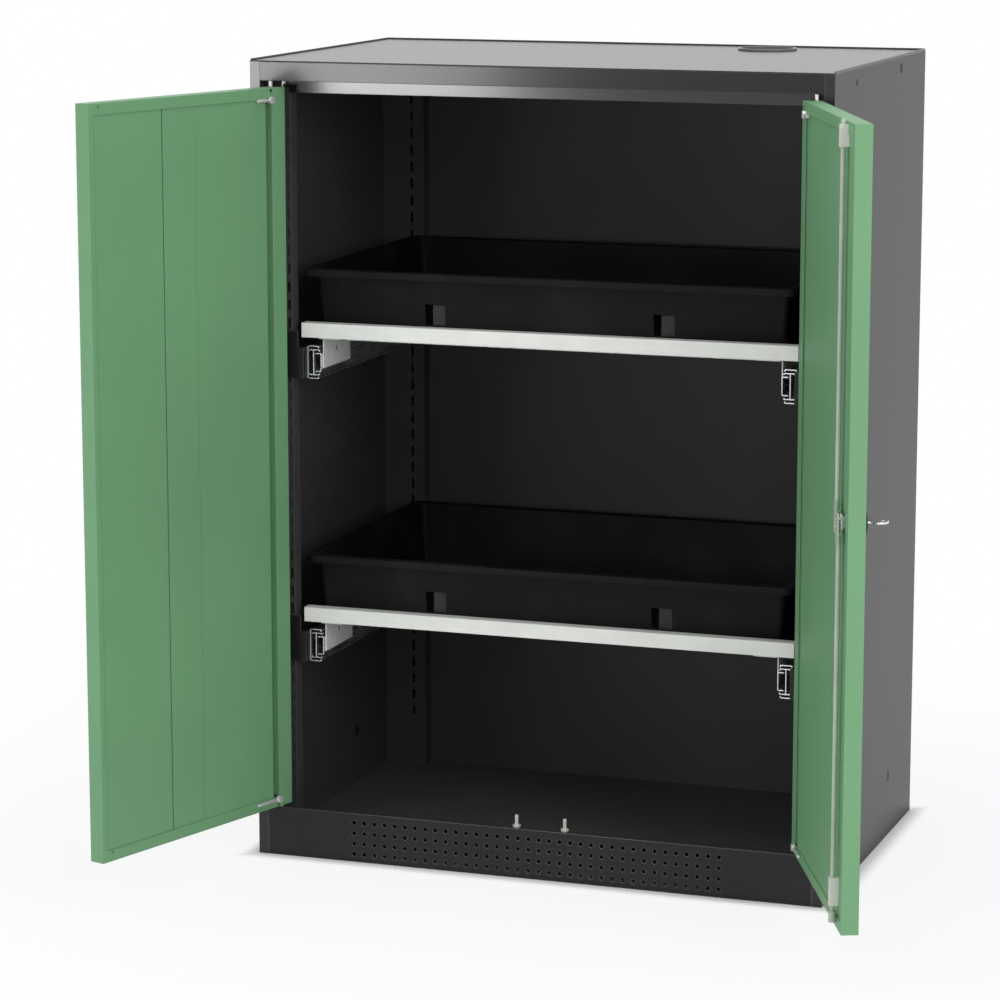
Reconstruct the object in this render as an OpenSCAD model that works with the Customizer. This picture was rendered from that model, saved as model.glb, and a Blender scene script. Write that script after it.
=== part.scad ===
// Two-door steel cabinet with two full-extension tray drawers behind a perforated plinth.
// Millimetres. The origin is on the floor under the middle of the cabinet: +Z up, doors at -Y.
// Everything is drawn at rest: both doors open, both drawers pushed in, the lock released.

/* [Cabinet] */
// Overall width
cab_w = 810; // [760:1:1000]
// Overall depth
cab_d = 520; // [460:1:640]
// Height of the roof
cab_h = 1105; // [1000:1:1300]
// Thickness of the carcass sheet steel
sheet = 1.5; // [1:0.1:2]
// Width of a side panel's front return
return_w = 14; // [12:0.5:15]
// Depth of the flange behind a front return
return_d = 26; // [15:1:30]
// Width of a side panel's rear return
rear_return_w = 15; // [8:1:30]
// Height of the plinth
plinth_h = 69.5; // [66:0.5:72]
// Height of the sill's top face
sill_z = 60; // [57:0.5:60]
// Depth of the sill
sill_d = 38; // [37.5:0.1:38.5]
// Height of the floor's top face
floor_z = 10; // [7:0.5:16]
// Width of the rib under the floor
rib_w = 60; // [30:1:120]
// Height of the top rail's face
rail_h = 25.5; // [20:0.5:32]
// Depth of the top rail's fold
rail_d = 39.5; // [38.5:0.1:40]
// How far the stop lip hangs below the fold
lip_drop = 18; // [8:0.5:20]
// Distance of the stop lip's full height from the side
lip_in = 42; // [36:1:80]

/* [Plinth holes] */
// Number of holes in a row
hole_cols = 36; // [10:1:40]
// Number of rows
hole_rows = 4; // [1:1:4]
// Distance between hole centres
hole_pitch = 15; // [9:0.5:15]
// Diameter of a hole
hole_dia = 6; // [3:0.5:8]
// Height of the lowest row
hole_z = 11; // [6:0.5:12]
// Height of the stiffener behind the middle rows
stiff_h = 26; // [16:1:30]
// Distance of the stiffener's web behind the plinth
stiff_d = 7; // [3:0.5:14]

/* [Posts] */
// Reach of a front post from the cabinet's side
front_post_w = 42; // [38:0.5:42]
// Depth of a front post
front_post_d = 22; // [14:1:60]
// Gap between the top rail and a front post
post_gap = 0.5; // [0.3:0.1:1]
// Reach of a rear post from the cabinet's side
rear_post_w = 65; // [60:1:90]
// Depth of a rear post
rear_post_d = 22; // [18:0.5:24]
// Width of a slot
slot_w = 4; // [2:0.5:6]
// Height of a slot
slot_h = 14; // [6:1:16]
// Distance between slots
slot_pitch = 25; // [22:1:25]
// Number of slots in a post
slot_count = 38; // [4:1:38]
// Distance of a front post's slots from its free edge
front_slot_in = 5; // [4.5:0.5:12]
// Distance of a rear post's slots from its free edge
rear_slot_in = 19; // [8:0.5:30]

/* [Exhaust] */
// Bore of the exhaust connection
duct_bore = 75; // [50:1:120]
// Wall of the tube below the roof
duct_wall = 1.5; // [1:0.5:3]
// Width of the ring on the roof
duct_ring = 4; // [4:0.5:12]
// Height of the ring on the roof
duct_rise = 3; // [3:0.5:40]
// Length of the tube below the roof
duct_drop = 25; // [5:1:40]
// Distance of the connection to the right of the middle
duct_x = 195; // [-250:1:250]
// Distance of the connection from the back
duct_back = 73; // [70:1:200]
// Radial gap between the tube and the roof
duct_gap = 0.2; // [0.1:0.1:0.5]

/* [Doors] */
// Thickness of a door
door_t = 22; // [21:0.5:22]
// Thickness of the door's sheet steel
door_sheet = 1.5; // [1:0.1:1.5]
// How far a closed door lies behind the cabinet's front
door_set = 4; // [3.5:0.1:4]
// Gap between a closed door and the front return
side_gap = 3; // [2.7:0.1:4]
// Gap between the two closed doors
middle_gap = 3; // [2:0.5:6]
// Gap between a door and the plinth
bottom_gap = 4.5; // [3:0.5:6]
// Gap between a door and the top rail
top_gap = 8.5; // [6:0.5:12]
// Width of the lip at the hinge side
hinge_lip = 27; // [25:0.5:28]
// Width of the lip at the free side
free_lip = 9; // [5:0.5:14]
// Width of the lips at top and bottom
end_lip = 15; // [10:0.5:24]
// Width of the open channel between the hinge lip and the liner
channel_w = 11; // [9:0.5:14]
// Angle at which the left door stands open
left_open = 107.4; // [0:0.1:118]
// Angle at which the right door stands open
right_open = 113.7; // [0:0.1:118]
// Distance of the liner's seam from the free edge
seam_in = 140.5; // [100:0.5:200]
// Width of the liner's seam
seam_w = 2.4; // [1:0.2:6]
// Depth of the liner's seam
seam_d = 0.7; // [0.3:0.1:0.8]
// Diameter of the small holes in the end lips
lip_hole = 5; // [3:0.5:6]
// Distance of the left door's catch holes from its free edge
catch_in = 18.5; // [14:0.5:30]

/* [Hinges] */
// Distance of the pivot from the door's hinge edge
pivot_in = 9; // [8.8:0.1:9.4]
// Distance of the pivot from the door's front
pivot_back = 5; // [4.8:0.1:5]
// Diameter of a hinge bolt
bolt_dia = 6; // [4.5:0.5:6]
// Radial running clearance of a hinge bolt
bolt_run = 0.05; // [0.02:0.01:0.08]
// Radial clearance of a hinge bolt in the door's sheet
bolt_clear = 0.4; // [0.2:0.1:0.8]
// Outer diameter of a hinge bushing
bush_dia = 10; // [9:0.5:11]
// Diameter of a hinge bushing's collar
bush_collar = 14; // [12:0.5:14]
// Height of the lower bushings above the sill
bush_h = 10; // [6:0.5:10]
// Length of a bushing beyond its collar
bush_len = 6; // [4:0.5:12]
// Radial gap round a bushing in its sheet
bush_gap = 0.1; // [0.05:0.05:0.3]
// Thickness of a bushing's upper collar
bush_rim = 1.5; // [1:0.5:3]
// Distance of an upper bolt's arm from the door's top
upper_arm_in = 16.5; // [12:0.5:24]
// Distance of a lower bolt's arm from the door's bottom
lower_arm_in = 11; // [9:0.5:24]
// Length of an upper bolt's handle
upper_arm_len = 27; // [12:1:60]
// Length of a lower bolt's handle
lower_arm_len = 43; // [12:1:60]
// Diameter of a bolt's arm
arm_dia = 4.5; // [3:0.5:5]
// Diameter of a bolt's head
arm_head = 10; // [7:0.5:11]
// Height of a hinge bracket
hb_h = 34; // [30:1:50]
// Thickness of a hinge bracket
hb_t = 2; // [1:0.5:3]

/* [Lock] */
// Height of the lock
lock_z = 583.5; // [480:0.5:680]
// Distance of the lock from the right door's free edge
lock_in = 40.5; // [38:0.5:60]
// Diameter of the lock's housing
housing_dia = 18; // [16:0.5:20]
// Radial gap round the housing in the door
housing_gap = 0.2; // [0.1:0.1:0.5]
// Diameter of the turning core
core_dia = 10; // [9:0.5:12]
// Radial running clearance of the core
core_run = 0.05; // [0.02:0.01:0.08]
// Diameter of the escutcheon
plate_dia = 31; // [26:0.5:40]
// Thickness of the escutcheon
plate_t = 3.5; // [3:0.1:3.5]
// Distance of a cam pin from the lock's axis
cam_r = 8.5; // [8:0.1:9]
// Diameter of the cam
cam_dia = 26; // [24:0.5:28]
// Thickness of the cam
cam_t = 3; // [2:0.1:3]
// Diameter of a cam pin
cam_pin = 4; // [3:0.1:4]
// Play of a cam pin in its slot
pin_play = 0.4; // [0.35:0.05:0.5]
// Distance of a rod's axis behind the closed door
rod_back = 5.5; // [5.3:0.1:5.6]
// Diameter of a lock rod
rod_dia = 6; // [5:0.5:6.5]
// Radial clearance of a rod in its guide
rod_run = 0.15; // [0.05:0.05:0.3]
// Radial clearance of the upper rod in the top rail
rod_clear = 0.8; // [0.5:0.1:1.5]
// Thickness of a rod's end plate
yoke_t = 2.4; // [1.5:0.1:2.5]
// Height of the upper rod guide
upper_guide_h = 27; // [18:0.5:40]
// Height of the lower rod guide
lower_guide_h = 36; // [12:0.5:60]
// Width of a rod guide
guide_w = 9.5; // [9:0.5:12]
// Depth of a rod guide behind the closed door
guide_d = 10; // [9.6:0.1:10.4]
// Diameter of the lower rod's socket
socket_dia = 9.6; // [8.4:0.2:10]
// Height of the lower rod's socket
socket_h = 14; // [8:0.5:18]
// Radial clearance of the socket round the sill pin
socket_run = 0.7; // [0.4:0.1:0.9]
// Length of the key outside the lock
key_len = 31; // [26:0.5:45]
// Width of the key's bow
key_w = 24; // [18:0.5:26]
// Thickness of the key's bow
key_t = 2.5; // [2:0.1:3]

/* [Sill pins] */
// Diameter of a sill pin
pin_dia = 5; // [4:0.5:5]
// Height of a sill pin above the sill
pin_h = 20; // [16:0.5:24]
// Diameter of a sill pin's collar
collar_dia = 11; // [7:0.5:11]
// Thickness of a sill pin's collar
collar_t = 3; // [1:0.5:3]
// Height of a sill pin's collar above the sill
collar_z = 3; // [1:0.5:4]

/* [Side holes] */
// Diameter of the large holes in the side panels
big_hole = 14; // [6:0.5:16]
// Diameter of the small holes in the side panels
small_hole = 9; // [5:0.5:12]
// Distance of the upper large holes from the back
high_hole_back = 151; // [60:1:240]
// Distance of the upper large holes below the roof
high_hole_down = 16; // [14:0.5:17]
// Distance of the lower large holes from the back
low_hole_back = 148; // [60:1:240]
// Height of the lower large holes
low_hole_z = 88; // [85:1:200]
// Distance of the small holes from the front
small_hole_y = 115; // [80:1:200]
// Distance of the small holes below the roof
small_hole_down = 19; // [12:0.5:20]
// Radial gap round a plug
plug_gap = 0.2; // [0.1:0.1:0.5]

/* [Drawers] */
// Height of the upper tray's underside
upper_z = 727; // [640:0.5:800]
// Height of the lower tray's underside
lower_z = 328.5; // [200:0.5:440]
// Distance of a tray's rim from the cabinet's side
tray_in = 55; // [52:0.5:58]
// Distance of a tray's rim from the cabinet's front
tray_y = 40; // [38.5:0.5:42]
// Height of a tray
tray_h = 93; // [70:0.5:140]
// Wall of a tray
tray_wall = 3; // [2:0.25:4]
// Overhang of a tray's rim
rim_out = 13; // [12:0.5:16]
// Height of a tray's rim
rim_h = 10; // [5:0.5:14]
// How far a tray's walls lean in towards the floor
tray_draft = 10; // [9:0.5:14]
// Distance of the front bar from the cabinet's side
bar_in = 54; // [52:0.5:60]
// Distance of the front bar from the cabinet's front
bar_y = 42; // [41:0.5:42]
// Depth of the front bar
bar_d = 18; // [14:0.5:18]
// Height of the front bar
bar_h = 20; // [14:0.5:24]
// Thickness of the front bar's sheet
bar_t = 1.5; // [1:0.1:2]
// Width of a clip notch
notch_w = 29; // [20:0.5:40]
// Height of a clip notch
notch_h = 29; // [10:0.5:32]
// Distance of a clip notch above the front bar
notch_up = 2.5; // [1:0.5:6]
// Distance of a clip notch from the middle
notch_x = 162; // [60:1:260]
// Width of a clip
clip_w = 20; // [8:0.5:20]
// Thickness of a clip
clip_t = 2; // [1:0.5:3]
// Thickness of the drawer frame's sheet
frame_t = 1.5; // [1:0.1:2]
// Height of a side plate
plate_h = 44; // [44:0.5:52]
// Width of a side plate's top flange
plate_flange = 31; // [20:0.5:50]
// Length of a front side plate
front_plate_len = 99; // [60:1:120]
// Length of a rear side plate
rear_plate_len = 144; // [80:1:180]
// Diameter of the hole in a side plate
plate_hole = 8; // [4:0.5:12]
// Width of a cross rail
cross_w = 34; // [20:1:60]
// Height of a cross rail
cross_h = 6; // [4:0.5:30]

/* [Slides] */
// Distance of a slide from the cabinet's side
slide_in = 58; // [56:0.5:60]
// Distance of a slide from the cabinet's front
slide_y = 52; // [50:0.5:56]
// Distance between the tray's underside and the slide's top
slide_down = 14; // [12:0.5:16]
// Height of the outer rail
slide_h = 46; // [44:1:52]
// Width of a slide
slide_w = 21; // [21:0.5:23]
// Thickness of the rails
slide_t = 1.5; // [1:0.1:1.6]
// Diameter of a ball
ball_dia = 2.9; // [2:0.1:3.2]
// Gap between a ball and its track
ball_gap = 0.3; // [0.2:0.05:0.4]
// Number of balls in a row
ball_count = 8; // [3:1:16]
// Thickness of a ball cage
cage_t = 1; // [0.6:0.1:1.2]
// Height of a slide bracket
bracket_h = 42; // [36:0.5:46]
// Width of a slide bracket's flanges
bracket_w = 15; // [8:0.5:15]
// Width of a slide bracket's hook
hook_w = 16; // [8:0.5:20]
// Height of a slide bracket's hook
hook_h = 44; // [24:0.5:60]

/* [Hidden] */
$fn = 64;
half_w = cab_w / 2;
half_d = cab_d / 2;
roof_z = cab_h - sheet;
rail_z = roof_z - rail_h;
back_y = cab_d - 2 * sheet;
post_y = rail_d + post_gap;
rear_y = back_y - rear_post_d;

door_x0 = return_w + side_gap;
door_x1 = half_w - middle_gap / 2;
door_y0 = door_set;
door_y1 = door_set + door_t;
door_z0 = plinth_h + bottom_gap;
door_z1 = rail_z - top_gap;
lip_y = door_y1 - door_sheet;
channel_x0 = door_x0 + hinge_lip;
channel_x1 = channel_x0 + channel_w;
pivot_x = door_x0 + pivot_in;
pivot_y = door_y0 + pivot_back;
bolt_r = bolt_dia / 2;
bore_r = bolt_r + bolt_run;
arm_x = (channel_x0 + channel_x1) / 2;
arm_y = door_y1 + 0.6 + arm_dia / 2;
arm_gap = arm_dia / 2 + 0.5;

lock_x = door_x1 - lock_in;
rod_y = door_y1 + rod_back;
rod_r = rod_dia / 2;
cam_rest = 45;
cam_side = cam_r * cos(cam_rest);
cam_lift = cam_r * sin(cam_rest);
rod_x = (cam_r + cam_side) / 2;
yoke_slot = (cam_r - cam_side) / 2 + cam_pin / 2 + pin_play;
yoke_in = rod_x - 0.8;
yoke_out = yoke_slot + 3;
yoke_y1 = rod_y + rod_r;
cam_y0 = door_y1 + 1;
cam_y1 = cam_y0 + cam_t;
rod_start = cam_dia / 2 + cam_lift + 2.5;
housing_y0 = door_y0 - plate_t + 1;
guide_z1 = door_z1 - 3.5;
guide_z0 = door_z0 + 29;
pin_top = sill_z + pin_h;
socket_z0 = pin_top + 2;

slide_len = cab_d - 90;
travel = slide_len - 10;
tray_d = cab_d - 80;
slide_mid = slide_down + slide_h / 2;
track = ball_dia + 2 * ball_gap;
mid_h = slide_h - 2 * slide_t - 2 * track;
inner_h = mid_h - 2 * slide_t - 2 * track;
mid_web = 8.5;
plate_x = slide_in + slide_w;
cage_y0 = slide_y + travel / 4 + 3;
cage_y1 = slide_y + slide_len - travel / 4 - 3;

steel_grey = [0.24, 0.24, 0.25];
door_green = [0.40, 0.58, 0.43];
zinc = [0.72, 0.73, 0.74];
pale_grey = [0.88, 0.88, 0.86];
black_plastic = [0.10, 0.10, 0.11];
dark_plastic = [0.22, 0.22, 0.23];
white_plastic = [0.90, 0.90, 0.86];

// A box between two corners, measured from the cabinet's left side and from its front.
module box(x0, x1, y0, y1, z0, z1) {
  translate([x0 - half_w, y0 - half_d, z0]) cube([x1 - x0, y1 - y0, z1 - z0]);
}

// A round bar along X.
module bar_x(y, z, r, x0, x1) {
  translate([x0 - half_w, y - half_d, z]) rotate([0, 90, 0]) cylinder(r = r, h = x1 - x0);
}

// A round bar along Y.
module bar_y(x, z, r, y0, y1) {
  translate([x - half_w, y1 - half_d, z]) rotate([90, 0, 0]) cylinder(r = r, h = y1 - y0);
}

// A round bar along Z.
module bar_z(x, y, r, z0, z1) {
  translate([x - half_w, y - half_d, z0]) cylinder(r = r, h = z1 - z0);
}

// What is drawn for the left, on the right.
module right_hand() {
  mirror([1, 0, 0]) children();
}

// What is drawn for the left, on both sides.
module both_hands() {
  children();
  mirror([1, 0, 0]) children();
}

// What is drawn on a closed left-hand door, turned about its pivot to an opening angle.
module opened(angle) {
  translate([pivot_x - half_w, pivot_y - half_d, 0]) rotate([0, 0, -angle])
    translate([half_w - pivot_x, half_d - pivot_y, 0]) children();
}

// What is drawn at a door's top, turned over to its bottom.
module at_bottom() {
  translate([0, 0, door_z0 + door_z1]) mirror([0, 0, 1]) children();
}

/* ---- Carcass ---- */

module side_hole_row(x0, x1, grow) {
  bar_x(cab_d - high_hole_back, cab_h - high_hole_down, big_hole / 2 + grow, x0, x1);
  bar_x(cab_d - low_hole_back, low_hole_z, big_hole / 2 + grow, x0, x1);
  bar_x(small_hole_y, cab_h - small_hole_down, small_hole / 2 + grow, x0, x1);
}

module side_panel() {
  color(steel_grey) difference() {
    union() {
      box(0, sheet, 0, cab_d, 0, roof_z);
      box(0, return_w, 0, sheet, 0, roof_z);
      box(return_w - sheet, return_w, 0, return_d, 0, roof_z);
      box(0, rear_return_w, cab_d - sheet, cab_d, 0, roof_z);
    }
    side_hole_row(-1, sheet + 1, 0);
  }
}

module left_side_panel() {
  side_panel();
}

module right_side_panel() {
  right_hand() side_panel();
}

module back_panel() {
  color(steel_grey) box(sheet, cab_w - sheet, back_y, cab_d - sheet, 0, roof_z);
}

module duct(r, z0, z1) {
  bar_z(half_w + duct_x, cab_d - duct_back, r, z0, z1);
}

module top_panel() {
  color(steel_grey) difference() {
    box(0, cab_w, 0, cab_d, roof_z, cab_h);
    duct(duct_bore / 2 + duct_wall + duct_gap, roof_z - 1, cab_h + 1);
  }
}

module exhaust_collar() {
  color(zinc) difference() {
    union() {
      duct(duct_bore / 2 + duct_wall, roof_z - duct_drop, cab_h + 1);
      duct(duct_bore / 2 + duct_ring, cab_h, cab_h + duct_rise);
    }
    duct(duct_bore / 2, roof_z - duct_drop - 1, cab_h + duct_rise + 1);
  }
}

module top_rail() {
  y0 = rail_d - sheet;
  color(steel_grey) difference() {
    union() {
      box(return_w, cab_w - return_w, 0, sheet, rail_z, roof_z);
      box(return_w, cab_w - return_w, 0, rail_d, rail_z, rail_z + sheet);
      box(lip_in, cab_w - lip_in, y0, rail_d, rail_z - lip_drop, rail_z + sheet);
      box(lip_in - 12, cab_w - lip_in + 12, y0, rail_d, rail_z - lip_drop * 0.6, rail_z + sheet);
    }
    both_hands() bar_z(pivot_x, pivot_y, bush_dia / 2 + bush_gap, rail_z - 1, rail_z + sheet + 1);
    right_hand() bar_z(lock_x - rod_x, rod_y, rod_r + rod_clear, rail_z - 1, rail_z + sheet + 1);
  }
}

module floor_panel() {
  rib_z = floor_z - sheet;
  color(steel_grey) difference() {
    union() {
      box(sheet, cab_w - sheet, sill_d, back_y, rib_z, floor_z);
      box(sheet, 2 * sheet, sill_d, back_y, 0, floor_z);
      box(cab_w - 2 * sheet, cab_w - sheet, sill_d, back_y, 0, floor_z);
      box(half_w - rib_w / 2, half_w + rib_w / 2, sill_d, back_y, 0, floor_z);
    }
    box(half_w - rib_w / 2 + sheet, half_w + rib_w / 2 - sheet, sill_d - 1, back_y + 1, sheet, rib_z);
  }
}

module plinth_panel() {
  x0 = half_w - (hole_cols - 1) * hole_pitch / 2;
  color(steel_grey) difference() {
    box(return_w, cab_w - return_w, 0, sheet, 0, plinth_h);
    for (i = [0 : hole_cols - 1])
      for (j = [0 : hole_rows - 1])
        bar_y(x0 + i * hole_pitch, hole_z + j * hole_pitch, hole_dia / 2, -1, sheet + 1);
  }
}

module plinth_stiffener() {
  x0 = half_w - hole_cols * hole_pitch / 2 - 20;
  z0 = hole_z + 1.5 * hole_pitch - stiff_h / 2;
  color(steel_grey) union() {
    box(x0, cab_w - x0, sheet + stiff_d, 2 * sheet + stiff_d, z0, z0 + stiff_h);
    box(x0, x0 + sheet, sheet, sheet + stiff_d, z0, z0 + stiff_h);
    box(cab_w - x0 - sheet, cab_w - x0, sheet, sheet + stiff_d, z0, z0 + stiff_h);
  }
}

module sill_channel() {
  color(steel_grey) difference() {
    union() {
      box(return_w, cab_w - return_w, sheet, sill_d, sill_z - sheet, sill_z);
      box(return_w, cab_w - return_w, sill_d - sheet, sill_d, 0, sill_z);
    }
    both_hands() bar_z(pivot_x, pivot_y, bush_dia / 2 + bush_gap, sill_z - sheet - 1, sill_z + 1);
  }
}

module slot_row(x, y) {
  z0 = (floor_z + roof_z - (slot_count - 1) * slot_pitch - slot_h) / 2;
  for (i = [0 : slot_count - 1])
    box(x - slot_w / 2, x + slot_w / 2, y - 1, y + sheet + 1,
        z0 + i * slot_pitch, z0 + i * slot_pitch + slot_h);
}

module post(w, y0, y1) {
  box(sheet, w, y0, y0 + sheet, floor_z, roof_z);
  box(w - sheet, w, y0, y1, floor_z, roof_z);
  box(sheet, 2 * sheet, y0, y1, floor_z, roof_z);
}

module front_post() {
  color(steel_grey) difference() {
    post(front_post_w, post_y, post_y + front_post_d);
    slot_row(front_post_w - front_slot_in, post_y);
  }
}

module left_front_post() {
  front_post();
}

module right_front_post() {
  right_hand() front_post();
}

module rear_post() {
  color(steel_grey) difference() {
    post(rear_post_w, rear_y, back_y);
    slot_row(rear_post_w - rear_slot_in, rear_y);
  }
}

module left_rear_post() {
  rear_post();
}

module right_rear_post() {
  right_hand() rear_post();
}

module sill_pin() {
  bar_z(lock_x + rod_x, rod_y, pin_dia / 2, sill_z, pin_top);
  bar_z(lock_x + rod_x, rod_y, collar_dia / 2, sill_z + collar_z, sill_z + collar_z + collar_t);
}

module sill_pins() {
  color(white_plastic) both_hands() sill_pin();
}

module upper_bushing() {
  z0 = rail_z + sheet;
  difference() {
    union() {
      bar_z(pivot_x, pivot_y, bush_dia / 2, rail_z, z0 + bush_len);
      bar_z(pivot_x, pivot_y, bush_collar / 2, z0, z0 + bush_rim);
    }
    bar_z(pivot_x, pivot_y, bore_r, rail_z - 1, z0 + bush_len + 1);
  }
}

module lower_bushing() {
  difference() {
    union() {
      bar_z(pivot_x, pivot_y, bush_dia / 2, sill_z - bush_len, sill_z + 1);
      bar_z(pivot_x, pivot_y, bush_collar / 2, sill_z, sill_z + bush_h);
    }
    bar_z(pivot_x, pivot_y, bore_r, sill_z - bush_len - 1, sill_z + bush_h + 1);
  }
}

module hinge_bushings() {
  color(white_plastic) both_hands() {
    upper_bushing();
    lower_bushing();
  }
}

module hole_plugs() {
  color(black_plastic) both_hands() {
    side_hole_row(0.4, sheet + 1, -plug_gap);
    side_hole_row(sheet, sheet + 1, 1.5);
  }
}

/* ---- Slides, left-hand, for a tray whose underside is at z ---- */

module rail_web(z, h, u0) {
  m = z - slide_mid;
  box(slide_in + u0, slide_in + u0 + slide_t, slide_y, slide_y + slide_len, m - h / 2, m + h / 2);
}

module rail_flanges(z, h, u0, u1) {
  m = z - slide_mid;
  box(slide_in + u0, slide_in + u1, slide_y, slide_y + slide_len, m + h / 2 - slide_t, m + h / 2);
  box(slide_in + u0, slide_in + u1, slide_y, slide_y + slide_len, m - h / 2, m - h / 2 + slide_t);
}

module outer_rail(z) {
  color(zinc) union() {
    rail_web(z, slide_h, 0);
    rail_flanges(z, slide_h, 0, slide_w - 5);
  }
}

module middle_rail(z) {
  color(zinc) union() {
    rail_web(z, mid_h, mid_web);
    rail_flanges(z, mid_h, slide_t + 1, slide_w - slide_t - 1);
  }
}

module inner_rail(z) {
  color(zinc) union() {
    rail_web(z, inner_h, slide_w - slide_t);
    rail_flanges(z, inner_h, mid_web + slide_t + 2, slide_w);
  }
}

module ball_row(z, v, u, w) {
  m = z - slide_mid;
  pitch = (cage_y1 - cage_y0) / ball_count;
  box(slide_in + u - w / 2, slide_in + u + w / 2, cage_y0, cage_y1, m + v - cage_t / 2, m + v + cage_t / 2);
  for (i = [0 : ball_count - 1])
    translate([slide_in + u - half_w, cage_y0 + (i + 0.5) * pitch - half_d, m + v]) sphere(d = ball_dia);
}

module outer_cages(z) {
  v = (mid_h + track) / 2;
  color(zinc) both_hands() {
    ball_row(z, v, mid_web, 9);
    ball_row(z, -v, mid_web, 9);
  }
}

module inner_cages(z) {
  v = (inner_h + track) / 2;
  u = (mid_web + slide_w) / 2 + 0.75;
  color(zinc) both_hands() {
    ball_row(z, v, u, 4);
    ball_row(z, -v, u, 4);
  }
}

module slide_bracket(z) {
  z0 = z - slide_mid - bracket_h / 2;
  z1 = z0 + bracket_h;
  x0 = slide_in - bracket_w;
  x1 = slide_in;
  y0 = post_y - sheet;
  box(x1 - sheet, x1, y0, rear_y, z0, z1);
  box(x0, x1, post_y, rear_y, z0, z0 + sheet);
  box(x0, x1, post_y, rear_y, z1 - sheet, z1);
  box(x0, x1, rear_y - sheet, rear_y, z0, z1);
  box(slide_in - 24, x1, y0, post_y, z0, z1);
  box(slide_in - 24, slide_in - 24 + hook_w, y0, post_y, z0, z - slide_mid + hook_h);
}

module slide_brackets(z) {
  color(zinc) both_hands() slide_bracket(z);
}

/* ---- Drawers, for a tray whose underside is at z ---- */

// How far a tray's outer wall lies inside its rim at height h.
function wall_in(z, h) = rim_out + tray_draft * (z + tray_h - h) / tray_h;

// The tapered block of a tray, with its walls moved in by g, from height h0 to h1.
module tray_block(z, g, h0, h1) {
  a = wall_in(z, h0) + g;
  b = wall_in(z, h1) + g;
  w = cab_w - 2 * tray_in;
  intersection() {
    translate([tray_in - half_w, tray_y + tray_d - half_d, 0]) rotate([90, 0, 0]) linear_extrude(tray_d)
      polygon([[a, h0], [w - a, h0], [w - b, h1], [b, h1]]);
    translate([tray_in - half_w, tray_y - half_d, 0]) rotate([90, 0, 90]) linear_extrude(w)
      polygon([[a, h0], [tray_d - a, h0], [tray_d - b, h1], [b, h1]]);
  }
}

module tray(z) {
  top = z + tray_h;
  x1 = cab_w - tray_in;
  y1 = tray_y + tray_d;
  notch_z = z - frame_t + bar_h + notch_up;
  color(black_plastic) difference() {
    union() {
      tray_block(z, 0, z, top);
      difference() {
        box(tray_in, x1, tray_y, y1, top - rim_h, top);
        box(tray_in + tray_wall, x1 - tray_wall, tray_y + tray_wall, y1 - tray_wall,
            top - rim_h - 1, top - tray_wall);
      }
    }
    tray_block(z, tray_wall, z + tray_wall, top + 1);
    for (s = [-1, 1])
      box(half_w + s * notch_x - notch_w / 2, half_w + s * notch_x + notch_w / 2,
          tray_y + rim_out, tray_y + rim_out + tray_draft + tray_wall, notch_z, notch_z + notch_h);
  }
}

module front_bar(z) {
  z0 = z - frame_t;
  y1 = bar_y + bar_d;
  color(pale_grey) difference() {
    box(bar_in, cab_w - bar_in, bar_y, y1, z0, z0 + bar_h);
    box(bar_in + bar_t, cab_w - bar_in - bar_t, bar_y + bar_t, y1 + 1, z0 + bar_t, z0 + bar_h - bar_t);
  }
}

module cross_rail(z, y0) {
  z1 = z - frame_t;
  x0 = plate_x + plate_flange + 2;
  box(plate_x + frame_t, cab_w - plate_x - frame_t, y0, y0 + cross_w, z1, z);
  box(x0, cab_w - x0, y0, y0 + frame_t, z - cross_h, z);
  box(x0, cab_w - x0, y0 + cross_w - frame_t, y0 + cross_w, z - cross_h, z);
}

module cross_rails(z) {
  color(zinc) union() {
    cross_rail(z, bar_y + bar_d + 5);
    cross_rail(z, cab_d - 66 - cross_w);
  }
}

module side_plate(z, y0, flange_y0, y1) {
  z1 = z - frame_t;
  difference() {
    union() {
      box(plate_x, plate_x + frame_t, y0, y1, z1 - plate_h, z1);
      box(plate_x, plate_x + plate_flange, flange_y0, y1, z1 - frame_t, z1);
    }
    bar_x((y0 + y1) / 2, z1 - plate_h / 2, plate_hole / 2, plate_x - 1, plate_x + frame_t + 1);
  }
}

module side_plates(z) {
  y0 = bar_y + bar_d - 2;
  y1 = cab_d - 31;
  color(zinc) both_hands() {
    side_plate(z, y0, bar_y + 2, y0 + front_plate_len);
    side_plate(z, y1 - rear_plate_len, y1 - rear_plate_len, y1);
  }
}

module tray_clips(z) {
  x0 = notch_w / 2 - clip_w;
  y0 = tray_y + wall_in(z, z + tray_wall) + tray_wall + 0.4;
  z0 = z + tray_wall;
  z1 = z - frame_t + bar_h + notch_up + notch_h - 2;
  color(dark_plastic) for (s = [-1, 1])
    translate([s * notch_x, 0, 0]) union() {
      box(half_w + x0, half_w + x0 + clip_w, y0, y0 + clip_t, z0, z1);
      box(half_w + x0, half_w + x0 + clip_w, y0, y0 + 22, z0, z0 + clip_t);
    }
}

module upper_slide_brackets() {
  slide_brackets(upper_z);
}

module lower_slide_brackets() {
  slide_brackets(lower_z);
}

module upper_left_outer_rail() {
  outer_rail(upper_z);
}

module upper_right_outer_rail() {
  right_hand() outer_rail(upper_z);
}

module lower_left_outer_rail() {
  outer_rail(lower_z);
}

module lower_right_outer_rail() {
  right_hand() outer_rail(lower_z);
}

module upper_left_middle_rail() {
  middle_rail(upper_z);
}

module upper_right_middle_rail() {
  right_hand() middle_rail(upper_z);
}

module lower_left_middle_rail() {
  middle_rail(lower_z);
}

module lower_right_middle_rail() {
  right_hand() middle_rail(lower_z);
}

module upper_outer_cages() {
  outer_cages(upper_z);
}

module upper_inner_cages() {
  inner_cages(upper_z);
}

module lower_outer_cages() {
  outer_cages(lower_z);
}

module lower_inner_cages() {
  inner_cages(lower_z);
}

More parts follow.
